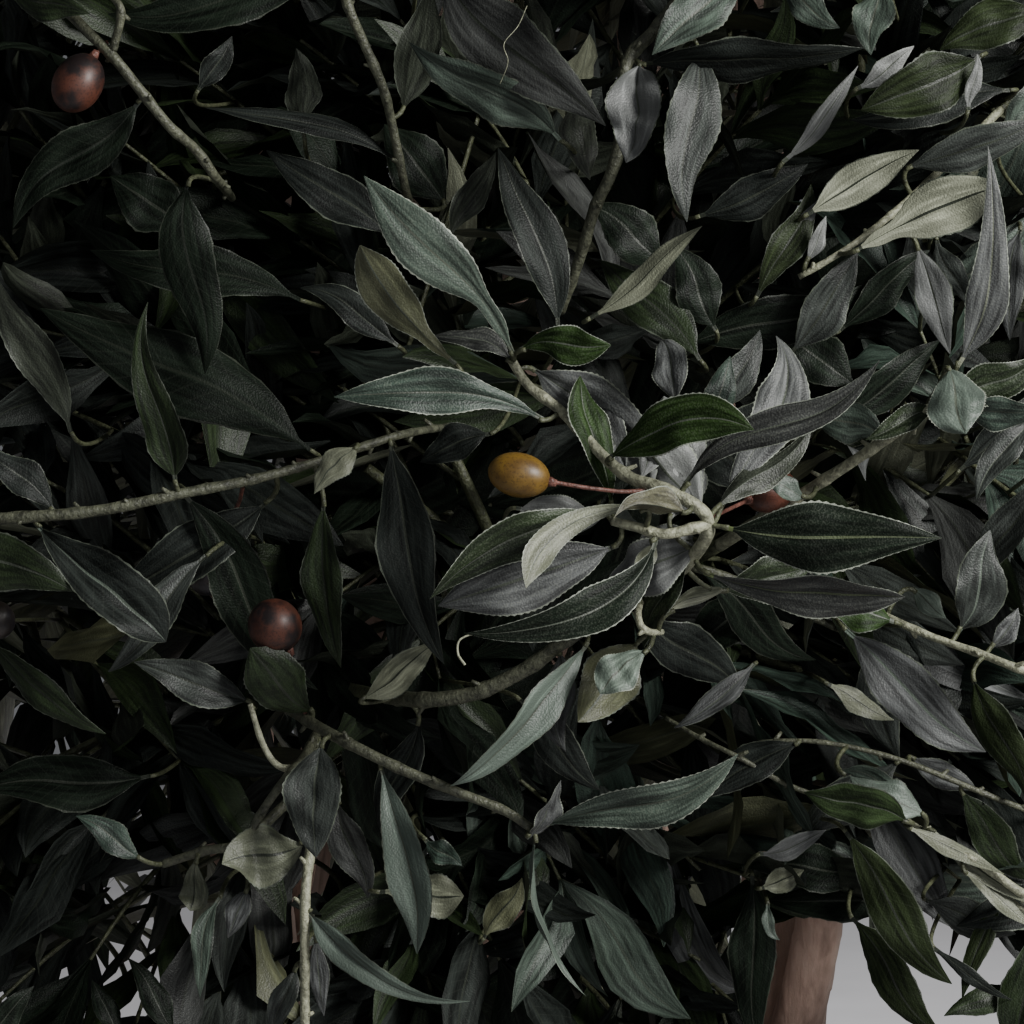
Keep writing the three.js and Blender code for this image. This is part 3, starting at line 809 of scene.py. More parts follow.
STEMS = {
    "centre": ([(510, 358, -14), (529, 386, -16), (562, 412, -20), (605, 458, -28), (631, 478, -32),
                (656, 486, -36), (690, 502, -38), (706, 516, -36), (707, 533, -32), (699, 549, -26),
                (679, 570, -16), (651, 588, -8), (605, 616, 0)], 1.35, 2.3),
    "centre_low": ([(651, 588, -7), (605, 616, 0), (567, 639, 4), (529, 667, 8), (478, 692, 12),
                    (427, 700, 18), (385, 696, 34)], 2.1, 2.4),
    "arm": ([(612, 521, -34), (636, 527, -36), (664, 534, -38), (694, 528, -37),
             (708, 524, -35)], 1.3, 1.6),
    "hook": ([(662, 632, -12), (650, 632, -16), (641, 626, -18), (638, 612, -14),
              (642, 596, -6)], 0.9, 1.2),
    "right": ([(938, 404, -16), (890, 437, -8), (846, 466, 2), (804, 493, 12), (760, 520, 24),
               (720, 545, 40)], 1.4, 2.1),
    "left": ([(470, 424, 84), (438, 428, 54), (400, 435, 30), (362, 447, 24), (327, 459, 16), (255, 479, 8),
              (179, 494, 2), (102, 510, 0), (26, 517, 0), (-30, 518, 6), (-90, 505, 40)], 1.0, 2.1),
    "upper_left": ([(232, 198, 84), (225, 189, 48), (216, 178, 22), (196, 150, 14), (170, 127, 6),
                    (140, 90, 2), (114, 58, 0), (82, 26, 4), (50, -10, 16), (20, -60, 40)], 1.3, 1.7),
    "upper_left_side": ([(109, -8, -2), (121, 12, -4), (113, 50, 0)], 1.1, 1.3),
    "top_left": ([(420, 250, 96), (412, 216, 68), (404, 182, 44), (392, 124, 34), (382, 85, 26),
                  (362, 39, 20), (346, 0, 16), (335, -50, 34)], 1.2, 1.6),
    "top_middle": ([(560, 312, 30), (580, 257, 20), (595, 208, 10), (611, 174, 4), (620, 140, 2),
                    (626, 66, 4), (655, 30, 6), (682, -6, 10), (700, -50, 30)], 1.6, 2.1),
    "right_low": ([(836, 592, 64), (866, 606, 44), (890, 618, 30), (930, 636, 24), (981, 654, 18),
                   (1028, 672, 14), (1090, 690, 36)], 1.0, 1.35),
    "low_middle": ([(531, 828, -10), (503, 810, -8), (452, 790, -6), (401, 769, -4), (350, 744, 0),
                    (310, 722, 14), (280, 700, 40)], 1.3, 2.0),
    "low_left": ([(305, 1060, 4), (305, 1000, 0), (305, 905, -2), (309, 861, 2), (316, 800, 10),
                  (318, 750, 30)], 1.3, 1.6),
    "low_left_side": ([(243, 848, 6), (262, 812, 4), (283, 782, 4), (304, 757, 14),
                       (316, 735, 34)], 1.2, 1.5),
    "far_left": ([(163, 864, 26), (204, 851, 22), (243, 842, 20), (290, 800, 30)], 1.3, 1.6),
    "low_curl": ([(250, 704, 4), (262, 742, 6), (276, 764, 8), (292, 768, 12), (304, 757, 14)], 0.8, 1.1),
    "low_behind": ([(666, 718, 60), (700, 738, 52), (740, 758, 46), (786, 784, 50),
                    (840, 804, 60)], 0.7, 0.9),
    "bright_low": ([(960, 862, 36), (1000, 892, 32), (1040, 922, 38), (1100, 960, 60)], 0.9, 1.2),
    "curl": ([(484, 636, -49), (470, 635, -50), (459, 641, -51), (458, 654, -52),
              (465, 665, -52)], 0.20, 0.36),
    "strand": ([(527, 6, -12), (518, 26, -16), (504, 44, -18), (508, 62, -18), (500, 84, -14)], 0.09, 0.11),
    "bright": ([(905, 820, 34), (945, 846, 30), (981, 864, 28), (1030, 898, 30),
                (1100, 930, 60)], 1.1, 1.7),
    "behind_right": ([(868, 640, 60), (800, 612, 54), (735, 580, 50), (690, 566, 46)], 1.1, 1.5),
    "upper_right": ([(799, 277, 22), (832, 258, 20), (870, 232, 26), (930, 180, 44),
                     (1000, 110, 70)], 0.9, 1.4),
    "low_right": ([(758, 742, 50), (820, 742, 46), (900, 760, 44), (1000, 800, 46),
                   (1080, 830, 60)], 0.7, 1.0),
}

# Stems that take the pale plastic; the others take a darker copy of it, as painted shade
PALE_STEMS = ("centre", "arm", "hook", "right", "right_low", "bright", "bright_low", "upper_right", "strand",
              "curl", "low_left", "low_curl")

# Leaves placed one by one: root and tip as x, y, depth in mm, width in pixels, then roll (0 shows the face,
# 180 the underside), bend, fold, twist and sway in degrees, the colours of face and underside, and what
# differs from the usual shape
LEAVES = [
    # the middle spray
    ((722, 527, -36), (942, 538, -46), 72, 6, 20, 18, -6, 8, "deep", "cream",
     dict(rib="lime", broad=0.42, point=1.35)),
    ((704, 572, -26), (905, 597, -36), 52, 30, 18, 30, 10, 8, "plum", "dull",
     dict(snake=-0.10, broad=0.66, point=1.7, rib="lime")),
    ((601, 512, -33), (430, 599, -40), 52, -12, 26, 24, -10, 44, "green", "cream",
     dict(broad=0.42, point=1.25)),
    ((618, 545, -33), (438, 606, -30), 70, -6, 22, 18, 6, 0, "lilac", "dull", dict(broad=0.46, point=1.7)),
    ((656, 539, -38), (464, 633, -50), 50, 6, 40, 28, -12, -76, "deep", "dull", dict(broad=0.42, point=1.1)),
    ((646, 508, -44), (526, 588, -60), 31, 168, 40, 14, 20, -72, "green", "cream",
     dict(broad=0.76, point=1.4)),
    ((688, 513, -42), (614, 518, -56), 50, 150, 26, 56, 10, -50, "green", "khaki",
     dict(broad=0.2, point=1.0)),
    ((607, 460, -34), (754, 430, -58), 57, -14, 30, 22, -6, -50, "leafgreen", "cream",
     dict(broad=0.46, point=2.3)),
    ((612, 508, -26), (580, 376, -18), 44, 20, 20, 30, 20, -14, "leafgreen", "cream",
     dict(broad=0.62, point=1.6)),
    ((545, 421, -22), (334, 397, -34), 50, 8, 26, 26, 8, 32, "teal", "cream",
     dict(broad=0.56, point=1.4, neck=0.25)),
    ((514, 356, -18), (364, 176, -34), 58, -10, 34, 26, 14, 20, "sage", "cream",
     dict(wave=0.1, broad=0.62, point=1.4, neck=0.5, snake=-0.14)),
    ((456, 364, -12), (360, 245, -20), 48, 172, 30, 10, -10, 30, "green", "tan",
     dict(broad=0.64, point=2.4, neck=0.4)),
    ((512, 362, -16), (430, 336, -8), 30, 20, 30, 30, 30, 40, "plum", "dull"),
    ((520, 350, -20), (611, 345, -28), 40, 8, 26, 20, 0, -24, "leafgreen", "tan", dict(broad=0.6, point=1.6)),
    ((676, 406, -30), (661, 340, -14), 40, -30, 40, 20, 30, 50, "lilac", "cream", dict(broad=0.4)),
    ((684, 486, -38), (880, 360, -54), 40, 10, 34, 26, -40, -6, "plum", "cream",
     dict(snake=0.33, broad=0.5, point=1.3)),
    ((806, 498, 2), (768, 482, -2), 24, 10, 30, 20, 0, 10, "pale", "cream", dict(broad=0.5, point=2.4)),
    ((716, 508, -30), (812, 424, -18), 36, 158, 20, 30, 0, -10, "lilac", "dull", dict(crumple=0.08)),
    ((722, 506, -22), (776, 336, -4), 56, 6, 30, 36, 10, 50, "lilac", "dull",
     dict(broad=0.6, point=1.2, crumple=0.14)),
    ((530, 367, -12), (655, 470, -10), 62, 0, 30, 26, 16, -30, "lilac", "dull", dict(crumple=0.2, point=2.0)),
    ((628, 476, -24), (556, 378, 2), 46, 10, 30, 36, 10, 20, "lilac", "dull", dict(crumple=0.2)),
    ((706, 520, -24), (604, 424, -6), 70, 6, 30, 20, 0, 20, "ash", "dull", dict(crumple=0.5, point=2.2)),
    ((702, 512, -22), (664, 396, 4), 60, 10, 30, 20, 0, -16, "ash", "dull", dict(crumple=0.5, point=2.0)),
    ((764, 600, 40), (680, 652, 46), 54, 10, 20, 20, 0, 0, "deep", "dull"),
    ((856, 386, 48), (776, 330, 52), 54, 10, 20, 20, 0, 0, "deep", "dull"),
    ((446, 204, 60), (384, 124, 62), 64, 10, 20, 20, 0, 0, "deep", "dull"),
    ((190, 232, 60), (110, 176, 62), 64, 10, 20, 20, 0, 0, "deep", "dull"),
    ((770, 506, 36), (676, 400, 44), 64, 10, 20, 20, 0, 0, "charcoal", "dull"),
    ((700, 462, 48), (800, 396, 52), 56, 10, 20, 20, 0, 0, "charcoal", "dull"),
    ((640, 610, 36), (740, 690, 46), 56, 10, 20, 20, 0, 0, "charcoal", "dull"),
    ((640, 484, -24), (690, 404, 6), 44, 10, 40, 30, 20, -20, "silver", "dull", dict(crumple=0.3)),
    ((652, 500, -22), (616, 414, 2), 44, -10, 30, 30, 20, 16, "ash", "dull", dict(crumple=0.4)),
    ((668, 520, -22), (694, 440, -2), 40, 14, 40, 30, 10, 10, "ash", "dull", dict(crumple=0.4)),
    ((700, 538, -22), (636, 556, -12), 44, 10, 30, 20, 0, 10, "ash", "dull", dict(crumple=0.4, point=2.0)),
    ((702, 544, -24), (606, 584, -10), 62, 10, 40, 20, 10, -16, "silver", "dull", dict(crumple=0.3)),
    ((656, 540, -26), (640, 572, -34), 20, 170, 50, 30, 10, 0, "silver", "cream", dict(crumple=0.2)),
    ((516, 508, -10), (600, 520, -4), 50, 10, 20, 20, 0, 10, "ash", "dull", dict(crumple=0.2)),
    ((690, 560, -22), (644, 650, 0), 40, 30, 30, 26, 10, 16, "green", "tan"),
    ((668, 612, -16), (721, 588, -22), 22, 160, 60, 50, 60, 40, "pale", "chalk", dict(hook=0.9)),
    ((640, 600, -12), (592, 632, -10), 14, 30, 20, 20, 0, 10, "tan", "cream"),
    ((722, 592, -16), (812, 566, -4), 50, 20, 20, 26, 0, -10, "green", "tan"),
    # upper right
    ((957, 367, -18), (988, 146, -34), 46, 8, 34, 24, 14, 34, "lilac", "dull",
     dict(rib="chalk", broad=0.32, point=1.0, crumple=0.12)),
    ((948, 366, -18), (966, 434, -28), 60, 0, 24, 8, 0, 6, "pale", "cream",
     dict(crumple=0.12, broad=0.5, point=2.5)),
    ((946, 404, -14), (1040, 352, -18), 46, 20, 30, 24, 0, 10, "green", "cream"),
    ((952, 410, -12), (1050, 402, -16), 40, 30, 26, 26, 0, 16, "teal", "cream"),
    ((940, 410, -14), (865, 440, -16), 28, 20, 20, 20, 0, 10, "green", "cream", dict(teeth=0.05)),
    ((1034, 418, -4), (976, 502, -8), 34, 10, 30, 30, 0, 24, "slate", "cream"),
    ((884, 438, 0), (812, 412, 10), 46, 10, 26, 20, 0, 10, "sage", "cream"),
    ((704, 430, 10), (730, 356, 14), 34, 10, 30, 20, 0, 10, "teal", "dull"),
    ((958, 632, 24), (990, 530, 20), 58, 14, 30, 30, 10, 16, "slate", "dull", dict(rib="mint")),
    ((748, -24, 6), (652, 55, -4), 56, 10, 30, 24, 0, 10, "sage", "cream", dict(broad=0.45)),
    ((640, 64, 6), (865, 48, -6), 58, 34, 24, 22, 14, -12, "charcoal", "dull"),
    ((698, 46, 4), (687, 222, -8), 58, -10, 34, 26, -12, 14, "slate", "dull", dict(broad=0.4)),
    ((640, 62, 4), (626, 163, -8), 66, 6, 40, 44, 20, -20, "silver", "dull",
     dict(crumple=0.3, point=2.0, broad=0.5)),
    ((440, -34, 4), (606, 126, -6), 78, 10, 30, 30, 8, 14, "plum", "dull"),
    ((560, 140, 8), (409, 42, -2), 56, -16, 36, 30, -12, 18, "sage", "cream", dict(rib="mint")),
    ((980, 56, 14), (861, 110, 8), 62, -10, 30, 24, 0, -10, "moss", "cream", dict(point=2.0)),
    ((1010, 90, 34), (850, 120, 34), 46, 20, 20, 20, 0, -10, "charcoal", "dull"),
    ((808, 214, 26), (919, 150, 16), 44, 168, 24, 20, 0, 16, "green", "chalk"),
    ((853, 252, 14), (1000, 186, 0), 60, 168, 26, 20, 0, 20, "green", "chalk",
     dict(broad=0.6, point=2.2, neck=0.5)),
    ((590, 318, 4), (702, 226, -8), 30, 150, 30, 24, 16, 10, "green", "cream"),
    ((558, 330, 14), (498, 148, 18), 54, 16, 30, 30, 0, 10, "charcoal", "dull"),
    ((450, 236, 24), (496, 152, 22), 34, 160, 24, 24, 0, 10, "green", "dull"),
    ((574, 96, 16), (590, 180, 20), 44, 156, 24, 24, 0, 10, "green", "dull"),
    ((664, 262, 34), (590, 206, 30), 56, 10, 24, 24, 0, 10, "deep", "dull"),
    ((716, 330, 36), (672, 246, 34), 50, 10, 24, 24, 0, 10, "deep", "dull"),
    ((880, -14, 6), (871, 55, 0), 44, 10, 30, 24, 0, 10, "sage", "cream"),
    ((780, -20, 10), (840, 28, 6), 36, 10, 24, 24, 0, 10, "sage", "cream"),
    ((1040, 10, 20), (940, 50, 20), 56, 20, 24, 20, 0, 10, "moss", "tan"),
    ((968, 110, 12), (977, 54, 8), 16, 10, 20, 20, 0, 10, "ash", "dull"),
    ((757, 296, 32), (811, 184, 34), 38, 14, 30, 24, 0, 12, "moss", "cream"),
    ((686, 345, 44), (862, 285, 46), 56, 10, 26, 20, 0, 14, "deep", "dull"),
    ((917, 245, 36), (950, 354, 34), 40, 10, 26, 30, 0, -12, "silver", "dull", dict(rib="dull")),
    ((937, 240, 40), (968, 306, 40), 32, 10, 26, 24, 0, 0, "slate", "dull"),
    ((1020, 230, 30), (1010, 340, 20), 40, 20, 26, 30, 0, 12, "lilac", "dull"),
    ((700, 216, 44), (808, 164, 40), 46, 10, 26, 20, 0, 14, "charcoal", "dull"),
    ((700, 360, 30), (600, 260, 44), 56, 10, 26, 24, 0, 10, "green", "dull"),
    ((783, 162, 30), (858, 66, 26), 22, 20, 20, 20, 0, 10, "silver", "dull"),
    ((806, 262, 30), (826, 216, 26), 18, 20, 20, 20, 0, 10, "ash", "dull"),
    ((790, 240, 34), (818, 200, 30), 18, 20, 20, 20, 0, 10, "silver", "dull"),
    ((858, 88, 24), (914, 46, 22), 26, 10, 24, 20, 0, 10, "ash", "dull"),
    ((906, 168, 34), (1046, 116, 28), 46, 10, 24, 24, 0, 10, "slate", "dull"),
    ((930, 300, 44), (1040, 206, 38), 46, 10, 30, 24, 0, 20, "sage", "cream"),
    ((840, 330, 48), (930, 250, 48), 40, 20, 30, 24, 0, -20, "deep", "cream"),
    ((792, 352, 38), (858, 252, 34), 50, 14, 30, 30, 0, 0, "slate", "dull"),
    ((700, 420, 30), (760, 330, 36), 40, 10, 30, 24, 0, 20, "slate", "dull"),
    ((830, 420, 40), (940, 340, 44), 44, 16, 30, 24, 0, 10, "deep", "cream"),
    ((960, 470, 30), (1050, 380, 34), 40, 16, 30, 24, 0, 10, "charcoal", "cream"),
    ((1000, 150, 40), (1050, 60, 40), 40, 16, 30, 24, 0, 10, "sage", "cream"),
    ((894, 622, -6), (816, 606, -10), 48, 20, 30, 10, 0, 20, "leafgreen", "tan"),
    ((1046, 470, 20), (966, 590, 34), 46, 20, 34, 30, 0, -20, "slate", "cream"),
    ((912, 588, 34), (946, 618, 34), 26, 10, 20, 20, 0, 0, "mint", "cream"),
    ((990, 648, 20), (1018, 608, 20), 24, 10, 30, 30, 0, 30, "lilac", "dull"),
    # left
    ((-60, 548, -4), (74, 592, -14), 62, 14, 20, 18, 0, -26, "green", "cream"),
    ((36, 524, 0), (166, 642, -10), 68, -10, 44, 40, -10, 10, "charcoal", "dull",
     dict(wave=0.12, broad=0.66, point=2.6, crumple=0.16, rib="pale")),
    ((206, 556, 6), (108, 672, 2), 44, 20, 30, 40, 0, -20, "slate", "dull"),
    ((252, 702, 14), (134, 662, 8), 48, 6, 30, 36, 14, -8, "slate", "dull"),
    ((314, 712, 14), (250, 648, 0), 60, -10, 30, 14, 0, -20, "green", "dull", dict(broad=0.55, point=2.4)),
    ((176, 486, 0), (148, 302, -6), 52, -20, 20, 34, 10, -16, "green", "cream", dict(broad=0.22, point=1.0)),
    ((71, 432, 14), (-8, 270, 6), 46, 166, 24, 16, 0, 6, "green", "dull"),
    ((180, 490, 14), (318, 690, 34), 60, 10, 20, 22, 0, 10, "deep", "dull"),
    ((270, 500, 20), (104, 606, 24), 62, 14, 26, 20, 0, -14, "charcoal", "dull"),
    ((310, 450, 40), (40, 308, 44), 86, 14, 16, 16, 0, 6, "deep", "dull", dict(rib="deep", crumple=0.14)),
    ((390, 440, 26), (444, 664, 20), 62, 14, 26, 26, 0, 10, "charcoal", "dull"),
    ((324, 500, 14), (341, 668, 20), 46, 24, 26, 26, 0, 10, "green", "dull"),
    ((358, 446, 8), (314, 494, 0), 36, 10, 30, 20, 30, 20, "cream", "cream", dict(crumple=0.2)),
    ((142, 98, 12), (13, 228, 20), 54, 10, 30, 20, 0, 16, "deep", "dull",
     dict(hook=-0.4, snake=0.3, crumple=0.16, rib="charcoal")),
    ((188, 180, 30), (205, 374, 36), 56, 6, 20, 12, 0, 4, "deep", "dull",
     dict(broad=0.3, point=1.8, rib="charcoal")),
    ((10, -14, 6), (90, 14, -2), 40, 20, 20, 20, 0, 10, "green", "cream"),
    ((304, 130, 36), (296, 48, 36), 42, 156, 20, 20, 0, 0, "green", "dull"),
    ((402, 112, 34), (432, -16, 34), 52, 156, 20, 18, 0, 0, "green", "dull"),
    ((398, 162, 40), (206, 108, 36), 26, 30, 30, 20, 0, 14, "charcoal", "dull"),
    ((394, 238, 44), (266, 150, 44), 50, 10, 26, 20, 0, 0, "charcoal", "dull"),
    ((334, -14, 30), (108, 14, 34), 60, 14, 20, 16, 0, -8, "deep", "dull", dict(rib="deep")),
    ((198, 90, 40), (232, 36, 40), 28, 10, 30, 24, 0, 10, "charcoal", "dull"),
    ((398, 346, 34), (300, 288, 38), 34, 16, 40, 26, 0, 24, "charcoal", "dull"),
    ((490, 434, 20), (420, 462, 24), 40, 16, 30, 26, 0, 14, "charcoal", "dull"),
    ((54, 512, 6), (-20, 446, 4), 40, 16, 30, 26, 0, 10, "charcoal", "dull"),
    ((-10, 640, 20), (106, 734, 14), 38, 30, 26, 20, 0, 10, "green", "dull"),
    ((150, 776, 40), (-24, 792, 44), 60, 16, 20, 20, 0, 0, "deep", "dull"),
    ((300, 300, 50), (90, 250, 54), 56, 16, 20, 20, 0, 0, "deep", "dull", dict(rib="deep")),
    # below
    ((380, 764, -2), (417, 954, -12), 50, 10, 26, 34, 16, -26, "pale", "cream", dict(wave=0.1, broad=0.6)),
    ((542, 826, -10), (738, 754, -26), 50, 16, 30, 38, -10, 22, "sage", "cream",
     dict(teeth=0.035, broad=0.5)),
    ((526, 838, -10), (561, 780, -20), 34, 40, 10, 34, 30, 20, "lilac", "cream"),
    ((536, 836, -10), (586, 996, -14), 30, 70, 40, 34, 40, 30, "pale", "pale"),
    ((588, 642, -2), (450, 786, -16), 46, -20, 34, 36, -16, -4, "pale", "cream", dict(hook=0.6)),
    ((640, 640, -4), (578, 722, -12), 66, 160, 30, 30, 20, 20, "green", "tan"),
    ((648, 650, -14), (600, 694, -20), 44, 20, 30, 10, 0, 20, "mint", "cream",
     dict(crumple=0.15, broad=0.6, point=2.2)),
    ((560, 650, 6), (566, 752, -2), 44, 20, 30, 20, 20, 20, "lilac", "cream", dict(crumple=0.15)),
    ((322, 742, 0), (316, 858, -10), 62, 6, 26, 24, 10, 16, "slate", "dull", dict(crumple=0.2, point=1.9)),
    ((306, 842, 4), (222, 864, -4), 66, 158, 50, 26, 30, 30, "green", "straw",
     dict(crumple=0.2, broad=0.5, point=1.3)),
    ((306, 908, -2), (470, 1001, -12), 40, 14, 20, 44, 10, 52, "pale", "tan", dict(broad=0.28, point=0.8)),
    ((176, 1036, 40), (128, 958, 44), 30, 14, 20, 20, 0, 4, "deep", "dull"),
    ((118, 1040, 46), (92, 980, 50), 26, 14, 20, 20, 0, 4, "deep", "dull"),
    ((-20, 1040, 40), (34, 986, 44), 30, 14, 20, 20, 0, 4, "deep", "dull"),
    ((197, 858, 20), (190, 911, 14), 30, 172, 14, 8, 0, 6, "green", "straw", dict(broad=0.75, point=2.5)),
    ((908, 822, 24), (804, 792, 20), 50, -24, 24, 30, 0, 30, "lush", "cream", dict(point=2.0, crumple=0.12)),
    ((926, 816, 28), (850, 776, 30), 44, 20, 30, 24, 0, -30, "mint", "cream"),
    ((846, 832, 26), (952, 984, 20), 52, 12, 20, 14, 0, 10, "moss", "cream", dict(point=1.8)),
    ((852, 918, 34), (946, 1036, 28), 46, 24, 20, 14, 0, 10, "moss", "tan"),
    ((972, 676, 14), (1030, 806, 8), 44, 20, 24, 20, 0, -20, "moss", "tan"),
    ((846, 630, 16), (986, 752, 10), 62, 6, 30, 32, 10, 10, "lilac", "dull", dict(point=2.0, rib="mint")),
    ((754, 664, 30), (674, 728, 26), 28, 20, 40, 30, 0, -40, "lilac", "dull"),
    ((828, 684, 46), (894, 720, 46), 26, 160, 20, 20, 0, 0, "green", "cream"),
    ((760, 854, 46), (826, 830, 46), 24, 10, 30, 30, 0, 20, "silver", "dull", dict(crumple=0.15)),
    ((762, 888, 50), (804, 870, 50), 30, 160, 20, 20, 0, 0, "green", "cream"),
    ((908, 908, 60), (764, 900, 70), 44, 14, 20, 16, 0, 4, "deep", "dull"),
    ((870, 872, 58), (748, 868, 64), 52, 14, 20, 16, 0, 4, "deep", "dull"),
    ((910, 756, 50), (978, 792, 50), 30, 10, 30, 24, 0, 0, "lilac", "dull"),
    ((840, 772, 34), (918, 812, 30), 24, 10, 30, 24, 0, -50, "sage", "cream"),
    ((220, 898, 10), (200, 998, 4), 24, 10, 30, 30, 0, 30, "sage", "cream"),
    ((248, 888, 16), (228, 938, 12), 28, 10, 30, 24, 0, 0, "lilac", "dull"),
    ((296, 966, 12), (276, 1042, 8), 28, 10, 30, 24, 0, 20, "slate", "dull"),
    ((316, 936, 10), (324, 1016, 12), 22, 10, 30, 24, 0, 0, "lilac", "dull"),
    ((142, 860, 20), (76, 816, 18), 32, 10, 30, 24, 0, 10, "teal", "dull"),
    ((426, 840, -2), (462, 866, -6), 26, 10, 30, 24, 0, 0, "teal", "dull"),
    ((380, 892, 12), (464, 896, 8), 46, 166, 20, 10, 0, 0, "green", "cream", dict(broad=0.7, point=2.2)),
    ((484, 938, 44), (522, 878, 44), 36, 160, 20, 20, 0, 0, "green", "tan"),
    ((338, 798, 14), (368, 898, 16), 42, 10, 30, 30, 0, 0, "plum", "dull"),
    ((360, 700, 20), (440, 640, 24), 40, 150, 20, 20, 0, 0, "green", "cream"),
    ((420, 720, 30), (380, 830, 34), 40, 14, 30, 24, 0, 0, "charcoal", "dull"),
    ((520, 700, 40), (600, 790, 44), 44, 14, 30, 24, 0, 0, "charcoal", "dull"),
    ((870, 640, 50), (900, 760, 56), 48, 14, 20, 20, 0, 16, "slate", "cream"),
    ((1062, 896, 40), (956, 926, 40), 46, 14, 20, 20, 0, 0, "charcoal", "dull"),
    ((1034, 926, 40), (1020, 1070, 36), 56, 14, 20, 20, 0, 0, "green", "dull"),
    ((926, 900, 44), (1016, 934, 48), 40, 14, 20, 20, 0, 0, "slate", "dull"),
    ((1024, 988, 44), (944, 1016, 40), 32, 14, 20, 20, 0, 0, "green", "dull"),
    ((752, 876, 60), (758, 1050, 56), 50, 14, 20, 20, 0, 0, "deep", "dull"),
    ((1002, 896, 40), (962, 1000, 36), 24, 14, 20, 20, 0, 10, "moss", "dull"),
    ((934, 948, 36), (1012, 1000, 36), 15, 14, 20, 20, 0, 10, "charcoal", "dull"),
    ((768, 904, 50), (780, 940, 48), 15, 10, 30, 40, 0, 60, "pale", "cream"),
    ((870, 900, 56), (900, 1010, 60), 26, 156, 20, 20, 0, 0, "green", "dull"),
    ((906, 826, 28), (1004, 874, 24), 20, 160, 24, 20, 0, 10, "green", "cream"),
    ((930, 828, 30), (1040, 906, 26), 22, 160, 24, 20, 0, -10, "green", "cream"),
    ((962, 870, 28), (1040, 930, 26), 20, 160, 24, 20, 0, 10, "green", "cream"),
    ((700, 570, 30), (816, 660, 44), 48, 14, 20, 20, 0, 16, "deep", "dull"),
    ((800, 742, 46), (700, 800, 50), 44, 14, 20, 20, 0, 16, "charcoal", "dull"),
    ((900, 760, 44), (800, 850, 50), 48, 14, 20, 20, 0, 16, "slate", "dull"),
    ((960, 790, 46), (1034, 880, 50), 44, 14, 20, 20, 0, 16, "green", "dull"),
]

# Olives: centre and depth, long and short axis in pixels, colour, and the stalk's way back
OLIVES = [
    ((519, 475, -44), 63, 45, "amber",
     [(551, 482, -44), (588, 488, -42), (622, 492, -38), (652, 490, -34)]),
    ((78, 83, -2), 63, 50, "wine", [(96, 52, 0), (108, 42, 2)]),
    ((275, 626, 6), 56, 54, "wine", [(290, 652, 8), (300, 690, 14)]),
    ((-4, 620, 10), 40, 38, "dusk", [(-14, 600, 10), (-10, 530, 4)]),
    ((208, 574, 34), 44, 40, "dusk", [(216, 552, 34), (240, 500, 20)]),
    ((770, 490, 14), 58, 44, "rust", [(744, 502, 8), (706, 520, -20)]),
]


# A rim is bright only before this depth in mm, and a rib on a quiet colour only before the second
BRIGHT_RIM_DEPTH = -7
BRIGHT_RIB_DEPTH = 3
QUIET_FACES = ("deep", "charcoal", "green", "moss", "plum", "slate")


def placed_skins(depth, face, under, rib):
    rim = "rim" if depth < BRIGHT_RIM_DEPTH else "dull" if face == "deep" else "rib"
    quiet = depth > BRIGHT_RIB_DEPTH and face in QUIET_FACES
    return skins(face, under, rim, rib or ("dull" if quiet else "rib"))


def placed_leaf(root, tip, width, roll, bend, fold, twist, sway, face, under, more=None):
    """A leaf whose root and tip the camera sees at two pixels."""
    more = more or {}
    a, b = at_pixel(*root), at_pixel(*tip)
    draw = seeded(int(root[0] * 7 + root[1] * 13 + tip[0]) + 5)
    shape = dict(bend=math.radians(bend), sway=math.radians(sway), twist=math.radians(twist),
                 hook=more.get("hook", 0.12), snake=more.get("snake", 0.5 * (draw() - 0.5)))
    stations = FINE[0][None]
    spine, _, _ = leaf_spine({k: np.array([[v]]) for k, v in shape.items()}, stations)
    chord = spine[0, -1]
    span = b - a
    length = np.linalg.norm(span) / np.linalg.norm(chord)
    along, across = unit(span), unit(chord)
    facing = unit(EYE - (a + b) / 2)
    facing = unit(facing - along * np.dot(facing, along))
    facing = rotate(facing, along, math.radians(roll))
    local_up = unit(np.array([0, 0, 1.0]) - across * across[2])
    local = np.stack([across, np.cross(local_up, across), local_up])
    world = np.stack([along, np.cross(facing, along), facing])
    turn = local.T @ world
    middle_depth = (root[2] + tip[2]) / 2000
    return dict(
        shape, root=a, heading=turn[0], normal=turn[2], length=length,
        broad=more.get("broad", 0.40), point=more.get("point", 1.5), width=width * pixel_at(middle_depth),
        fold=math.radians(fold), cup=-0.35 - 0.45 * draw(), wave=more.get("wave", 0.17), phase=draw(),
        crumple=more.get("crumple", 0.08), teeth=more.get("teeth", 0.022),
        neck=more.get("neck", 0.12 * draw()), skins=placed_skins(root[2], face, under, more.get("rib")),
    )


# Materials

def nodes_of(name, rough):
    """A new material, its nodes, its shader with a roughness, and the place on the object."""
    material = bpy.data.materials.new(name)
    material.use_nodes = True
    tree = material.node_tree
    shader = tree.nodes["Principled BSDF"]
    shader.inputs["Roughness"].default_value = rough
    place = tree.nodes.new("ShaderNodeTexCoord").outputs["Object"]
    return material, tree, shader, place


def link(tree, a, b):
    tree.links.new(a, b)


def noise_node(tree, place, scale, detail=3, rough=0.55, stretch=None):
    node = tree.nodes.new("ShaderNodeTexNoise")
    node.inputs["Scale"].default_value = scale
    node.inputs["Detail"].default_value = detail
    node.inputs["Roughness"].default_value = rough
    if stretch:
        mapping = tree.nodes.new("ShaderNodeMapping")
        mapping.inputs["Scale"].default_value = stretch
        link(tree, place, mapping.inputs["Vector"])
        place = mapping.outputs["Vector"]
    link(tree, place, node.inputs["Vector"])
    return node.outputs["Fac"]


def ramp(tree, value, stops):
    node = tree.nodes.new("ShaderNodeValToRGB")
    while len(node.color_ramp.elements) < len(stops):
        node.color_ramp.elements.new(0.5)
    for element, (position, colour) in zip(node.color_ramp.elements, stops):
        element.position = position
        element.color = (*colour, 1)
    link(tree, value, node.inputs["Fac"])
    return node.outputs["Color"]


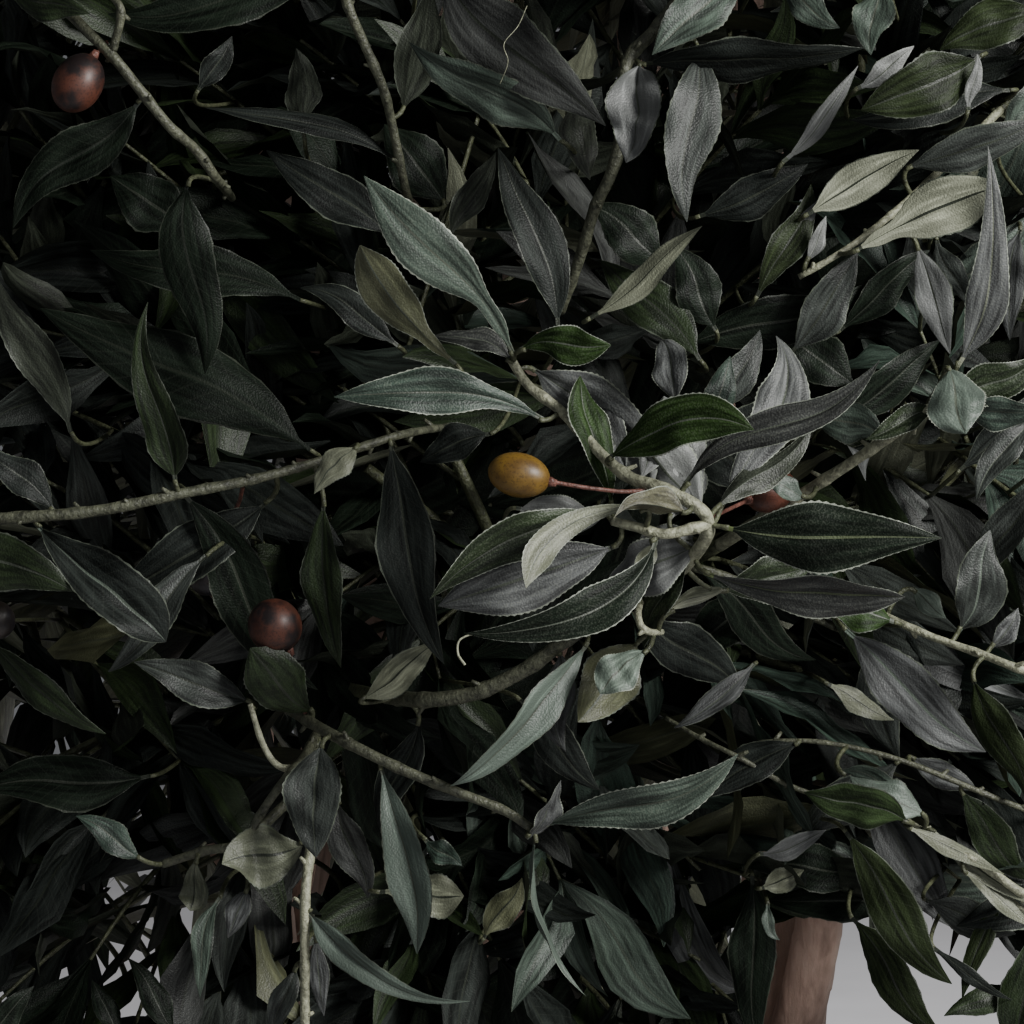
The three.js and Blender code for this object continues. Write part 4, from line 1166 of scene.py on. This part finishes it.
def faded(tree, value, low, high, most):
    """A share that rises from nothing at the low value to the most at the high one."""
    shades = ramp(tree, value, [(low, (0, 0, 0)), (high, (most, most, most))])
    grey = tree.nodes.new("ShaderNodeRGBToBW")
    link(tree, shades, grey.inputs["Color"])
    return grey.outputs["Val"]


def mixed(tree, share, a, b, mode="MIX"):
    node = tree.nodes.new("ShaderNodeMix")
    node.data_type = "RGBA"
    node.blend_type = mode
    for socket, value in ((node.inputs[0], share), (node.inputs[6], a), (node.inputs[7], b)):
        if isinstance(value, (int, float)):
            socket.default_value = value
        elif isinstance(value, tuple):
            socket.default_value = (*value, 1)
        else:
            link(tree, value, socket)
    return node.outputs[2]


def bump(tree, shader, height, strength, distance, before=None):
    """Relief on a shader, over the relief before it where there is one."""
    node = tree.nodes.new("ShaderNodeBump")
    node.inputs["Strength"].default_value = strength
    node.inputs["Distance"].default_value = distance
    link(tree, height, node.inputs["Height"])
    if before:
        link(tree, before, node.inputs["Normal"])
    link(tree, node.outputs["Normal"], shader.inputs["Normal"])
    return node.outputs["Normal"]


def maths(tree, operation, a, b=0.0, c=0.0):
    node = tree.nodes.new("ShaderNodeMath")
    node.operation = operation
    for socket, value in zip(node.inputs, (a, b, c)):
        if isinstance(value, (int, float)):
            socket.default_value = value
        else:
            link(tree, value, socket)
    return node.outputs[0]


def ranged(tree, value, low, high, to_low=0.0, to_high=1.0):
    node = tree.nodes.new("ShaderNodeMapRange")
    for socket, number in zip(list(node.inputs)[1:5], (low, high, to_low, to_high)):
        socket.default_value = number
    link(tree, value, node.inputs[0])
    return node.outputs[0]


def cloth(name, colour, rib, dust_and_sheen, gloss, rough=0.48):
    """Printed leaf cloth: mottled with painted sheen streaks, specked with dust and painted sheen, with a
    thin rib and slanting side veins that follow the blade.
    """
    material, tree, shader, place = nodes_of(name, rough)
    blade = tree.nodes.new("ShaderNodeAttribute")
    blade.attribute_name = "blade"
    parts = tree.nodes.new("ShaderNodeSeparateXYZ")
    link(tree, blade.outputs["Vector"], parts.inputs[0])
    across, along, near = parts.outputs
    out = maths(tree, "ABSOLUTE", across)
    slant = maths(tree, "MULTIPLY_ADD", out, -13.0, maths(tree, "MULTIPLY", along, 95.0))
    veins = ranged(tree, maths(tree, "SINE", slant), 0.86, 1.0)
    stretched = tree.nodes.new("ShaderNodeVectorMath")
    stretched.operation = "MULTIPLY"
    stretched.inputs[1].default_value = (3.0, 2.0, 60)
    link(tree, blade.outputs["Vector"], stretched.inputs[0])
    streaks = noise_node(tree, stretched.outputs["Vector"], 1.6, 2, 0.6)
    grain = noise_node(tree, place, 1900, 0)
    depth = 0.75 if max(colour) > 0.08 else 0.45
    dark = tuple(c * depth for c in colour)
    light = tuple(min(1, c * (1.85 - depth)) for c in colour)
    painted_sheen = tuple(min(1, c * (2.7 - depth)) for c in colour)
    # The lightest tone of the streaks is painted sheen; the others are random mottling
    mottle_and_sheen = ramp(tree, streaks, [(0.36, dark), (0.58, light), (0.74, painted_sheen)])
    # A paler tone for the veins and for the specks of dust and painted sheen
    pale_tone = tuple(min(1, c * 1.4 + extra) for c, extra in zip(colour, (0.054, 0.058, 0.046)))
    veined = mixed(tree, maths(tree, "MULTIPLY", veins, 0.10), mottle_and_sheen, pale_tone)
    # Specks of dust and painted sheen, thickest on the lightest streaks; unspeckled leaves show a tenth of
    # them
    patchy = ranged(tree, streaks, 0.46, 0.66, 0.3, 1.5)
    dust_sheen_specks = maths(tree, "MULTIPLY", ranged(tree, grain, 0.49, 0.67, 0.0, dust_and_sheen), patchy)
    shown = maths(tree, "MULTIPLY_ADD", maths(tree, "LESS_THAN", near, 1.0), 0.90, 0.10)
    specked = mixed(tree, maths(tree, "MULTIPLY", dust_sheen_specks, shown), veined, pale_tone)
    line = ranged(tree, out, 0.02, 0.06, 0.6, 0.0)
    link(tree, mixed(tree, line, specked, rib), shader.inputs["Base Color"])
    shader.inputs["Specular IOR Level"].default_value = gloss
    relief = maths(tree, "MULTIPLY_ADD", veins, -0.12, grain)
    bump(tree, shader, relief, 0.30, 0.0005)
    return material


def plastic(name, colour, rough=0.45):
    """Moulded twig plastic with a faint dry brush of darker colour."""
    material, tree, shader, place = nodes_of(name, rough)
    dark = tuple(c * 0.42 for c in colour)
    light = tuple(min(1, c * 1.5) for c in colour)
    brushed = ramp(tree, noise_node(tree, place, 420, 5, 0.7), [(0.36, dark), (0.52, colour), (0.68, light)])
    link(tree, brushed, shader.inputs["Base Color"])
    bump(tree, shader, noise_node(tree, place, 900, 3), 0.7, 0.0009)
    return material


def olive_skin(name, colour, second, rough=0.34):
    material, tree, shader, place = nodes_of(name, rough)
    patches = ramp(tree, noise_node(tree, place, 100, 4), [(0.42, second), (0.56, colour)])
    flecks = faded(tree, noise_node(tree, place, 1500, 3), 0.52, 0.64, 0.5)
    link(tree, mixed(tree, flecks, patches, tuple(c * 0.4 for c in second)), shader.inputs["Base Color"])
    shader.inputs["Coat Weight"].default_value = 0.06
    shader.inputs["Coat Roughness"].default_value = 0.25
    bump(tree, shader, noise_node(tree, place, 420, 3), 0.15, 0.0006)
    return material


def bark_skin():
    material, tree, shader, place = nodes_of("bark", 0.86)
    grain = noise_node(tree, place, 60, 4, 0.65, (1, 1, 0.12))
    tones = [(0.30, (0.200, 0.128, 0.100)), (0.48, (0.560, 0.392, 0.315)), (0.70, (0.740, 0.570, 0.480))]
    colour = ramp(tree, grain, tones)
    patches = ramp(tree, noise_node(tree, place, 14, 4), [(0.4, (0.62, 0.62, 0.62)), (0.62, (1, 1, 1))])
    link(tree, mixed(tree, 1.0, colour, patches, "MULTIPLY"), shader.inputs["Base Color"])
    first = bump(tree, shader, noise_node(tree, place, 230, 5, 0.6, (1, 1, 0.10)), 0.6, 0.0025)
    bump(tree, shader, noise_node(tree, place, 900, 3), 0.3, 0.0008, first)
    return material


def clay_skin():
    material, tree, shader, place = nodes_of("clay", 0.88)
    tones = [(0.35, (0.330, 0.165, 0.098)), (0.65, (0.470, 0.262, 0.172))]
    body = ramp(tree, noise_node(tree, place, 22, 5), tones)
    bloom = faded(tree, noise_node(tree, place, 7, 6, 0.7), 0.52, 0.74, 0.55)
    link(tree, mixed(tree, bloom, body, (0.55, 0.47, 0.40)), shader.inputs["Base Color"])
    first = bump(tree, shader, noise_node(tree, place, 60, 4, 0.6, (0.3, 0.3, 6)), 0.25, 0.002)
    bump(tree, shader, noise_node(tree, place, 700, 4), 0.35, 0.0008, first)
    return material


def soil_skin():
    material, tree, shader, place = nodes_of("soil", 0.95)
    tones = [(0.35, (0.018, 0.013, 0.009)), (0.55, (0.062, 0.044, 0.030)), (0.72, (0.130, 0.100, 0.072))]
    colour = ramp(tree, noise_node(tree, place, 120, 6, 0.7), tones)
    link(tree, colour, shader.inputs["Base Color"])
    bump(tree, shader, noise_node(tree, place, 350, 5, 0.65), 0.7, 0.003)
    return material


PALE = ("rim", "rib", "cream", "tan", "mint", "lime", "silver", "pale", "straw", "ash", "chalk")
DARK = ("deep", "moss", "charcoal", "lush", "leafgreen")
DULL_RIB_BELOW = 0.045


def leaf_skin(name, colour):
    """The cloth of one colour: the middle tones get the most specks of dust and painted sheen, and the dark
    ones shine least.
    """
    rib = COLOURS["dull" if max(colour) < DULL_RIB_BELOW else "rib"]
    dust_and_sheen, gloss = (0.25, 0.40) if name in PALE else (0.38, 0.12) if name in DARK else (0.62, 0.32)
    return cloth("leaf_" + name, colour, rib, dust_and_sheen, gloss)


LEAF_SKINS = [leaf_skin(name, colour) for name, colour in COLOURS.items()]
TWIG_SKIN = plastic("twig", (0.080, 0.088, 0.048))
STEM_SKIN = plastic("stem", (0.310, 0.318, 0.222))
# A darker copy of the stem plastic: painted shade for the stems in the crown's darker parts
SHADED_STEM_SKIN = plastic("stem_shaded", (0.088, 0.093, 0.062))
STALK_SKIN = plastic("olive_stalk", (0.150, 0.062, 0.046))
OLIVE_NAMES = ("amber", "wine", "dusk", "rust")
OLIVE_SKINS = [olive_skin("olive_amber", (0.165, 0.094, 0.014), (0.086, 0.044, 0.008), 0.46),
               olive_skin("olive_wine", (0.088, 0.028, 0.016), (0.011, 0.006, 0.006), 0.5),
               olive_skin("olive_dusk", (0.020, 0.018, 0.022), (0.034, 0.026, 0.020), 0.4),
               olive_skin("olive_rust", (0.130, 0.040, 0.022), (0.070, 0.022, 0.014), 0.5)]


# The crown by the rule, the sprays and shades behind the placed ones, and the placed leaves

foliage = Foliage()
for mass in all_masses:
    grow_mass(mass, foliage)
rule_points = np.concatenate([line for line, _, _ in foliage.twigs])
for i, (root, tip, palette) in enumerate(SPRAYS):
    grow_spray(foliage, root, tip, palette, 400 + 17 * i)
twig_points = np.concatenate([line for line, _, _ in foliage.twigs])
for i, (x, y, turn) in enumerate(SHADES):
    add_shade(foliage, x, y, turn, 900 + 13 * i)
placed_leaves = [placed_leaf(*row) for row in LEAVES]


# Placed stems, with small pegs where they swell on all but the thinnest

# The radius in millimetres that a stem has to pass at its tip to carry pegs, and a peg's radii in metres
THINNEST_PEGGED = 0.5
PEG_RADII = [0.0009, 0.0008, 0.0007, 0.0005]


def lay_stem(name):
    """A placed stem's line, radii and pegs."""
    points, thin, thick = STEMS[name]
    line = curve_points([at_pixel(*p) for p in points], 9 * len(points))
    run = np.linalg.norm(line[1] - line[0]) * np.arange(len(line))
    radii = (thin + (thick - thin) * run / run[-1]) / 1000
    draw = seeded(len(name) * 31 + len(points))
    place = 0.006 + 0.01 * draw()
    pegs = []
    while place < run[-1] - 0.004 and thin > THINNEST_PEGGED:
        radii = radii * (1 + 0.16 * np.exp(-(((run - place) / 0.0018) ** 2)))
        i = int(place / run[1])
        out = spread(unit(line[i + 1] - line[i]), 6.3 * draw(), 1.0)
        reach = radii[i] + 0.0012 + 0.0022 * draw() ** 2
        pegs.append((line[i], line[i] + out * reach))
        place += 0.011 + 0.010 * draw()
    return line, radii, pegs


laid_stems = {name: lay_stem(name) for name in STEMS}
stem_lines = [line for line, _, _ in laid_stems.values()]
stem_points = np.concatenate(stem_lines)


# What runs back into the crown, so that nothing placed hangs in the air

# The thinnest stem tip that gets a link, and how near a stem a stem's root or a leaf joins it, in metres
THINNEST_LINKED, STEM_JOIN, LEAF_JOIN = 0.0005, 0.010, 0.014


def nearest(points, place):
    """The point of a set that lies nearest to a place."""
    return points[np.argmin(np.linalg.norm(points - place, axis=1))]


def way_back(place, direction, points, deeper, bold):
    """A line from a place to the twig that lies straight behind it, at least so much deeper."""
    behind = points[points[:, 1] > place[1] + deeper]
    aside = np.linalg.norm((behind - place)[:, [0, 2]], axis=1)
    goal = behind[np.argmin(3 * aside + (behind[:, 1] - place[1]))]
    return bezier(place, place + unit(direction) * bold * np.linalg.norm(goal - place), goal, 10)


def stem_link(line, radii):
    """From a placed stem's root end to the stem beside it, or to a twig of the rule behind it."""
    root = line[-1]
    goal = nearest(np.concatenate([other for other in stem_lines if other is not line]), root)
    if np.linalg.norm(goal - root) < STEM_JOIN:
        return bezier(root, (root + goal) / 2, goal, 6), radii[-1]
    return way_back(root, root - line[-4], rule_points, 0.03, 0.35), radii[-1] * 0.9


def leaf_link(leaf):
    """From a placed leaf to the stem beside it, or to a twig behind it."""
    root, heading = leaf["root"], leaf["heading"]
    goal = nearest(stem_points, root)
    gap = np.linalg.norm(goal - root)
    if gap < LEAF_JOIN:
        return bezier(root + heading * 0.002, root - heading * 0.35 * gap, goal, 8), 0.0008
    return way_back(root, -heading, twig_points, 0.006, 0.12), 0.0007


links = [stem_link(line, radii) for line, radii, _ in laid_stems.values() if radii[0] >= THINNEST_LINKED]
for place, direction in foliage.fill_roots:
    links.append((way_back(place, direction, rule_points, 0.012, 0.3), 0.0010))
links += [leaf_link(leaf) for leaf in placed_leaves]


# Twigs and stems as meshes

def stem_kind(name):
    """The material of a stem's mesh: the pale plastic, or a darker copy of it as painted shade."""
    return 0 if name in PALE_STEMS else 2


twigs = Builder()
for line, radii, sides in foliage.twigs:
    tube(twigs, line, radii, sides)
for line, radii in links:
    tube(twigs, line, radii, 6)
stems = Builder()
for name, (line, radii, _) in laid_stems.items():
    tube(stems, line, radii, 12, stem_kind(name))
for name, (_, _, pegs) in laid_stems.items():
    for peg in pegs:
        tube(stems, evenly(np.array(peg), 4), PEG_RADII, 6, stem_kind(name))


# Olives, those of the rule and the placed ones

def olive(builder, stalk_builder, centre, direction, length, width, skin, stalk, sides=12):
    """A plain long olive with a collar and a stalk."""
    turns = np.linspace(0, math.pi, sides // 2 + 4)
    points = centre - np.outer(np.cos(turns), direction) * length / 2
    tube(builder, points, np.maximum(np.sin(turns) * width / 2, 0.0002), sides, skin)
    first = centre + (stalk[0] - centre) * 0.97
    collar = evenly(np.array([first, first + unit(stalk[0] - centre) * 0.0024]), 3)
    tube(stalk_builder, collar, [0.0017, 0.0013, 0.0009], 10, 1)
    tube(stalk_builder, evenly(np.array([first, *stalk]), 14), 0.00062, 8, 1)


olives = Builder()
for place, direction, size, skin in foliage.olives:
    centre = place + direction * (size * 0.5 + 0.006)
    olive(olives, twigs, centre, direction, size, size * 0.76, skin, [centre - direction * size * 0.5, place])
for pixel, long, short, name, stalk in OLIVES:
    centre = at_pixel(*pixel)
    line = [at_pixel(*p) for p in stalk]
    goal = nearest(np.concatenate([stem_points, rule_points]), line[-1])
    direction = unit(centre - line[0])
    scale = pixel_at(pixel[2] / 1000)
    root = centre - direction * long * scale * 0.49
    skin = OLIVE_NAMES.index(name)
    olive(olives, stems, centre, direction, long * scale, short * scale, skin, [root, *line[1:], goal], 28)


# Pieces of the crown

LEAVES_PER_PIECE = 4500
# Detail of the placed leaves, and whether they go almost without specks of dust and painted sheen, by the
# depth of their roots in metres
DETAIL_BANDS = [(FINEST, 0, -math.inf, -0.007), (FINE, 1, -0.007, 0.022), (MODEST, 1, 0.022, math.inf)]
pieces = []
mass_names = [mass["name"] for mass in all_masses]


def keep(piece, slot, *nodes):
    """Hands a piece to the frame, and hides the CAD nodes that it replaces. Its slot is not used."""
    bpy.context.scene.collection.objects.link(piece)
    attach(piece, "root")
    if nodes:
        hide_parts(*nodes)
    pieces.append(piece)


front = Builder()
for detail, unspeckled, start, end in DETAIL_BANDS:
    band = [leaf for leaf in placed_leaves if start <= leaf["root"][1] - FOCUS_Y < end]
    add_leaves(front, band, detail, unspeckled)
keep(front.build("leaves_front", LEAF_SKINS), "foliage", "foliage_low_1")
near = Builder()
add_leaves(near, foliage.leaves["medium"], MEDIUM, 1)
keep(near.build("leaves_near", LEAF_SKINS), "foliage", *mass_names[:7])
far = foliage.leaves["coarse"]
for i in range(0, len(far), LEAVES_PER_PIECE):
    rest = Builder()
    add_leaves(rest, far[i : i + LEAVES_PER_PIECE], COARSE, 1)
    keep(rest.build(f"leaves_crown_{i // LEAVES_PER_PIECE + 1}", LEAF_SKINS), "foliage", *mass_names)
keep(stems.build("stems_front", [STEM_SKIN, STALK_SKIN, SHADED_STEM_SKIN]), "foliage", "foliage_low_1")
keep(twigs.build("twigs", [TWIG_SKIN, STALK_SKIN]), "foliage", *mass_names)
keep(olives.build("olives", OLIVE_SKINS), "foliage", *mass_names)


# Trunk and boughs: round limbs grown into one body, with the bark's relief

WOOD_VOXEL = 0.0034


def limb_flutes(k):
    """The relief of one limb: three lobes and seven finer flutes that wind along it."""
    def relief(share, angles):
        return 1 + 0.045 * np.cos(3 * angles + k + 2 * share) + 0.02 * np.cos(7 * angles - 4 * share + k)

    return relief


def wood_body():
    wood = Builder()
    trunk = curve_points([(0, 0, SOIL_TOP - 0.012), (-0.003, -0.003, SOIL_TOP + 0.07),
                          (0.008, -0.004, SOIL_TOP + 0.15), tuple(TRUNK_TOP)], 40)
    tube(wood, trunk, 1.0, 48, relief=trunk_swell)
    for k, (line, (base, tip)) in enumerate(LIMBS):
        tube(wood, line, np.linspace(base, tip, len(line)), 24, relief=limb_flutes(k))
    rough = wood.build("wood_rough", [])
    bpy.context.scene.collection.objects.link(rough)
    remesh = rough.modifiers.new("fuse", "REMESH")
    remesh.mode = "VOXEL"
    remesh.voxel_size = WOOD_VOXEL
    smooth = rough.modifiers.new("soften", "SMOOTH")
    smooth.iterations = 3
    evaluated = rough.evaluated_get(bpy.context.evaluated_depsgraph_get())
    mesh = bpy.data.meshes.new_from_object(evaluated)
    bpy.data.objects.remove(rough)
    count = len(mesh.vertices)
    places = np.zeros(count * 3, np.float32)
    normals = np.zeros(count * 3, np.float32)
    mesh.vertices.foreach_get("co", places)
    mesh.vertices.foreach_get("normal", normals)
    places, normals = places.reshape(-1, 3), normals.reshape(-1, 3)
    lift = np.zeros(count)
    for i, (x, y, z) in enumerate(places):
        ridges = noise.noise((x * 95, y * 95, z * 9))
        cracks = 1 - abs(noise.noise((x * 190, y * 190, z * 26)))
        lift[i] = 0.0011 * ridges - 0.0009 * cracks**6 + 0.0012 * noise.noise((x * 24, y * 24, z * 12))
    places += normals * lift[:, None]
    mesh.vertices.foreach_set("co", places.ravel())
    mesh.polygons.foreach_set("use_smooth", np.ones(len(mesh.polygons), bool))
    mesh.materials.clear()
    mesh.materials.append(bark_skin())
    mesh.update()
    return bpy.data.objects.new("bark", mesh)


limb_names = [f"bough_{k}" for k in range(1, 6)] + [f"offshoot_low_{k}" for k in range(1, 6)]
limb_names += [f"offshoot_high_{k}" for k in range(1, 5)] + ["offshoot_top"]
keep(wood_body(), "bark", "trunk", *limb_names)


# Pot and soil

def lathe(builder, profile, sides, wobble):
    """A turned body from radii and heights, with a small wobble out of round."""
    rows = []
    angles = np.arange(sides) / sides * 2 * math.pi
    for radius, height in profile:
        shift = np.array([wobble(a, radius, height) for a in angles]) if radius > 0.001 else np.zeros(sides)
        reach = max(radius, 0.0001) + shift
        rows.append(np.stack([np.cos(angles) * reach, np.sin(angles) * reach, np.full(sides, height)], 1))
    builder.add(np.concatenate(rows), ring_faces(len(rows), sides), 0)


def softened(profile, step):
    """The profile's outline with its corners rounded off."""
    points = np.array(profile)
    fine = []
    for a, b in zip(points[:-1], points[1:]):
        count = max(2, int(np.linalg.norm(b - a) / step))
        fine += [a + (b - a) * i / count for i in range(count)]
    fine = np.array([*fine, points[-1]])
    for _ in range(3):
        fine[1:-1] = (fine[:-2] + 2 * fine[1:-1] + fine[2:]) / 4
    return fine


def make_pot():
    band = POT_HEIGHT - 0.042
    wall = POT_RIM_RADIUS - 0.009
    inner = POT_RIM_RADIUS - POT_WALL
    corners = [
        (0, 0), (POT_FOOT_RADIUS - 0.003, 0), (POT_FOOT_RADIUS, 0.003), (wall, band - 0.005),
        (POT_RIM_RADIUS - 0.002, band), (POT_RIM_RADIUS, band + 0.005), (POT_RIM_RADIUS, POT_HEIGHT - 0.005),
        (POT_RIM_RADIUS - 0.004, POT_HEIGHT), (inner + 0.003, POT_HEIGHT), (inner, POT_HEIGHT - 0.004),
        (inner - 0.006, SOIL_EDGE - 0.03),
    ]
    profile = softened(corners, 0.005)
    pot = Builder()
    lathe(pot, profile, 96, lambda a, r, h: 0.0007 * noise.noise((math.cos(a) * 3, math.sin(a) * 3, h * 30))
          if h > 0.004 else 0)
    return pot.build("clay_pot", [clay_skin()])


SOIL_CRUMBS = 420


def make_soil():
    """The fill's lumpy face, slightly crowned, with loose crumbs on it."""
    soil = Builder()
    rows, sides = 36, 100
    foot, rim = POT_FOOT_RADIUS - POT_WALL, POT_RIM_RADIUS - POT_WALL
    edge = foot + (rim - foot) * (SOIL_EDGE - POT_FLOOR) / (POT_HEIGHT - 0.004 - POT_FLOOR) - 0.0008
    points = []
    for i in range(rows + 1):
        share = i / rows
        for j in range(sides):
            angle = j / sides * 2 * math.pi
            radius = edge * share
            x, y = math.cos(angle) * radius, math.sin(angle) * radius
            height = SOIL_EDGE + 0.006 * (1 - share**3)
            lumps = noise.noise((x * 60, y * 60, 2)) * 0.0022 + noise.noise((x * 210, y * 210, 7)) * 0.0016
            points.append((x, y, height + lumps - 0.001))
    index, onward = ring_grid(rows + 1, sides)
    faces = np.stack([index[:-1], index[1:], onward[1:], onward[:-1]], -1).reshape(-1, 4)
    soil.add(np.array(points), faces, 0)
    draw = seeded(77)
    for _ in range(SOIL_CRUMBS):
        angle, radius = draw() * 2 * math.pi, 0.062 + (edge - 0.068) * math.sqrt(draw())
        size = 0.0012 + 0.0032 * draw() ** 3
        place = np.array([math.cos(angle) * radius, math.sin(angle) * radius,
                          SOIL_EDGE + 0.006 * (1 - (radius / edge) ** 3) + size * 0.2])
        lean = unit(np.array([draw() - 0.5, draw() - 0.5, 0.35]))
        share = np.linspace(-1, 1, 5)
        radii = np.sqrt(np.maximum(0.02, 1 - share**2)) * size * (0.7 + 0.5 * draw())
        tube(soil, place + np.outer(share, lean) * size, radii, 6)
    return soil.build("potting_soil", [soil_skin()])


keep(make_pot(), "clay", "pot")
keep(make_soil(), "soil", "soil")


# Floor, light and camera

def make_floor():
    mesh = bpy.data.meshes.new("floor")
    half = 9.0
    corners = [(-half, -half, 0), (half, -half, 0), (half, half, 0), (-half, half, 0)]
    mesh.from_pydata(corners, [], [(0, 1, 2, 3)])
    floor = bpy.data.objects.new("floor", mesh)
    bpy.context.scene.collection.objects.link(floor)
    material, tree, shader, place = nodes_of("floor_pale", 0.85)
    tone = ramp(tree, noise_node(tree, place, 3, 4), [(0.3, (0.56, 0.55, 0.56)), (0.7, (0.62, 0.61, 0.62))])
    link(tree, tone, shader.inputs["Base Color"])
    mesh.materials.append(material)


def area_light(name, place, target, size, power, colour=(1, 1, 1)):
    light = bpy.data.lights.new(name, "AREA")
    light.shape = "SQUARE"
    light.size = size
    light.energy = power
    light.color = colour
    lamp = bpy.data.objects.new(name, light)
    lamp.location = place
    lamp.rotation_euler = (Vector(target) - Vector(place)).to_track_quat("-Z", "Y").to_euler()
    bpy.context.scene.collection.objects.link(lamp)


make_floor()
area_light("key", (0.86, -1.10, 1.36), (0.06, -0.36, 0.90), 0.42, 22.6, (1.0, 0.985, 0.96))
area_light("fill", (0.1, -3.1, 0.9), (0.1, -0.2, 0.80), 1.8, 6, (0.96, 0.98, 1.0))
area_light("back", (1.4, 2.6, 2.8), (0.8, 4.6, 0), 2.0, 112)

world = bpy.data.worlds.new("studio")
world.use_nodes = True
background = world.node_tree.nodes["Background"]
background.inputs["Color"].default_value = (0.86, 0.88, 0.92, 1)
background.inputs["Strength"].default_value = 0.14
bpy.context.scene.world = world

camera = bpy.data.cameras.new("camera")
camera.sensor_width = SENSOR_WIDTH
camera.lens = SENSOR_WIDTH / 2 / (CENTRE_PIXEL * PIXEL / CAMERA_DISTANCE)
camera.clip_start = 0.02
eye = bpy.data.objects.new("camera", camera)
eye.location = EYE
eye.rotation_euler = (math.radians(90), 0, 0)
bpy.context.scene.collection.objects.link(eye)
bpy.context.scene.camera = eye
bpy.context.scene.view_settings.view_transform = "AgX"
bpy.context.scene.view_settings.look = "AgX - Base Contrast"

triangles = {piece.name: 2 * len(piece.data.polygons) for piece in pieces}
print("triangles", sum(triangles.values()), triangles)
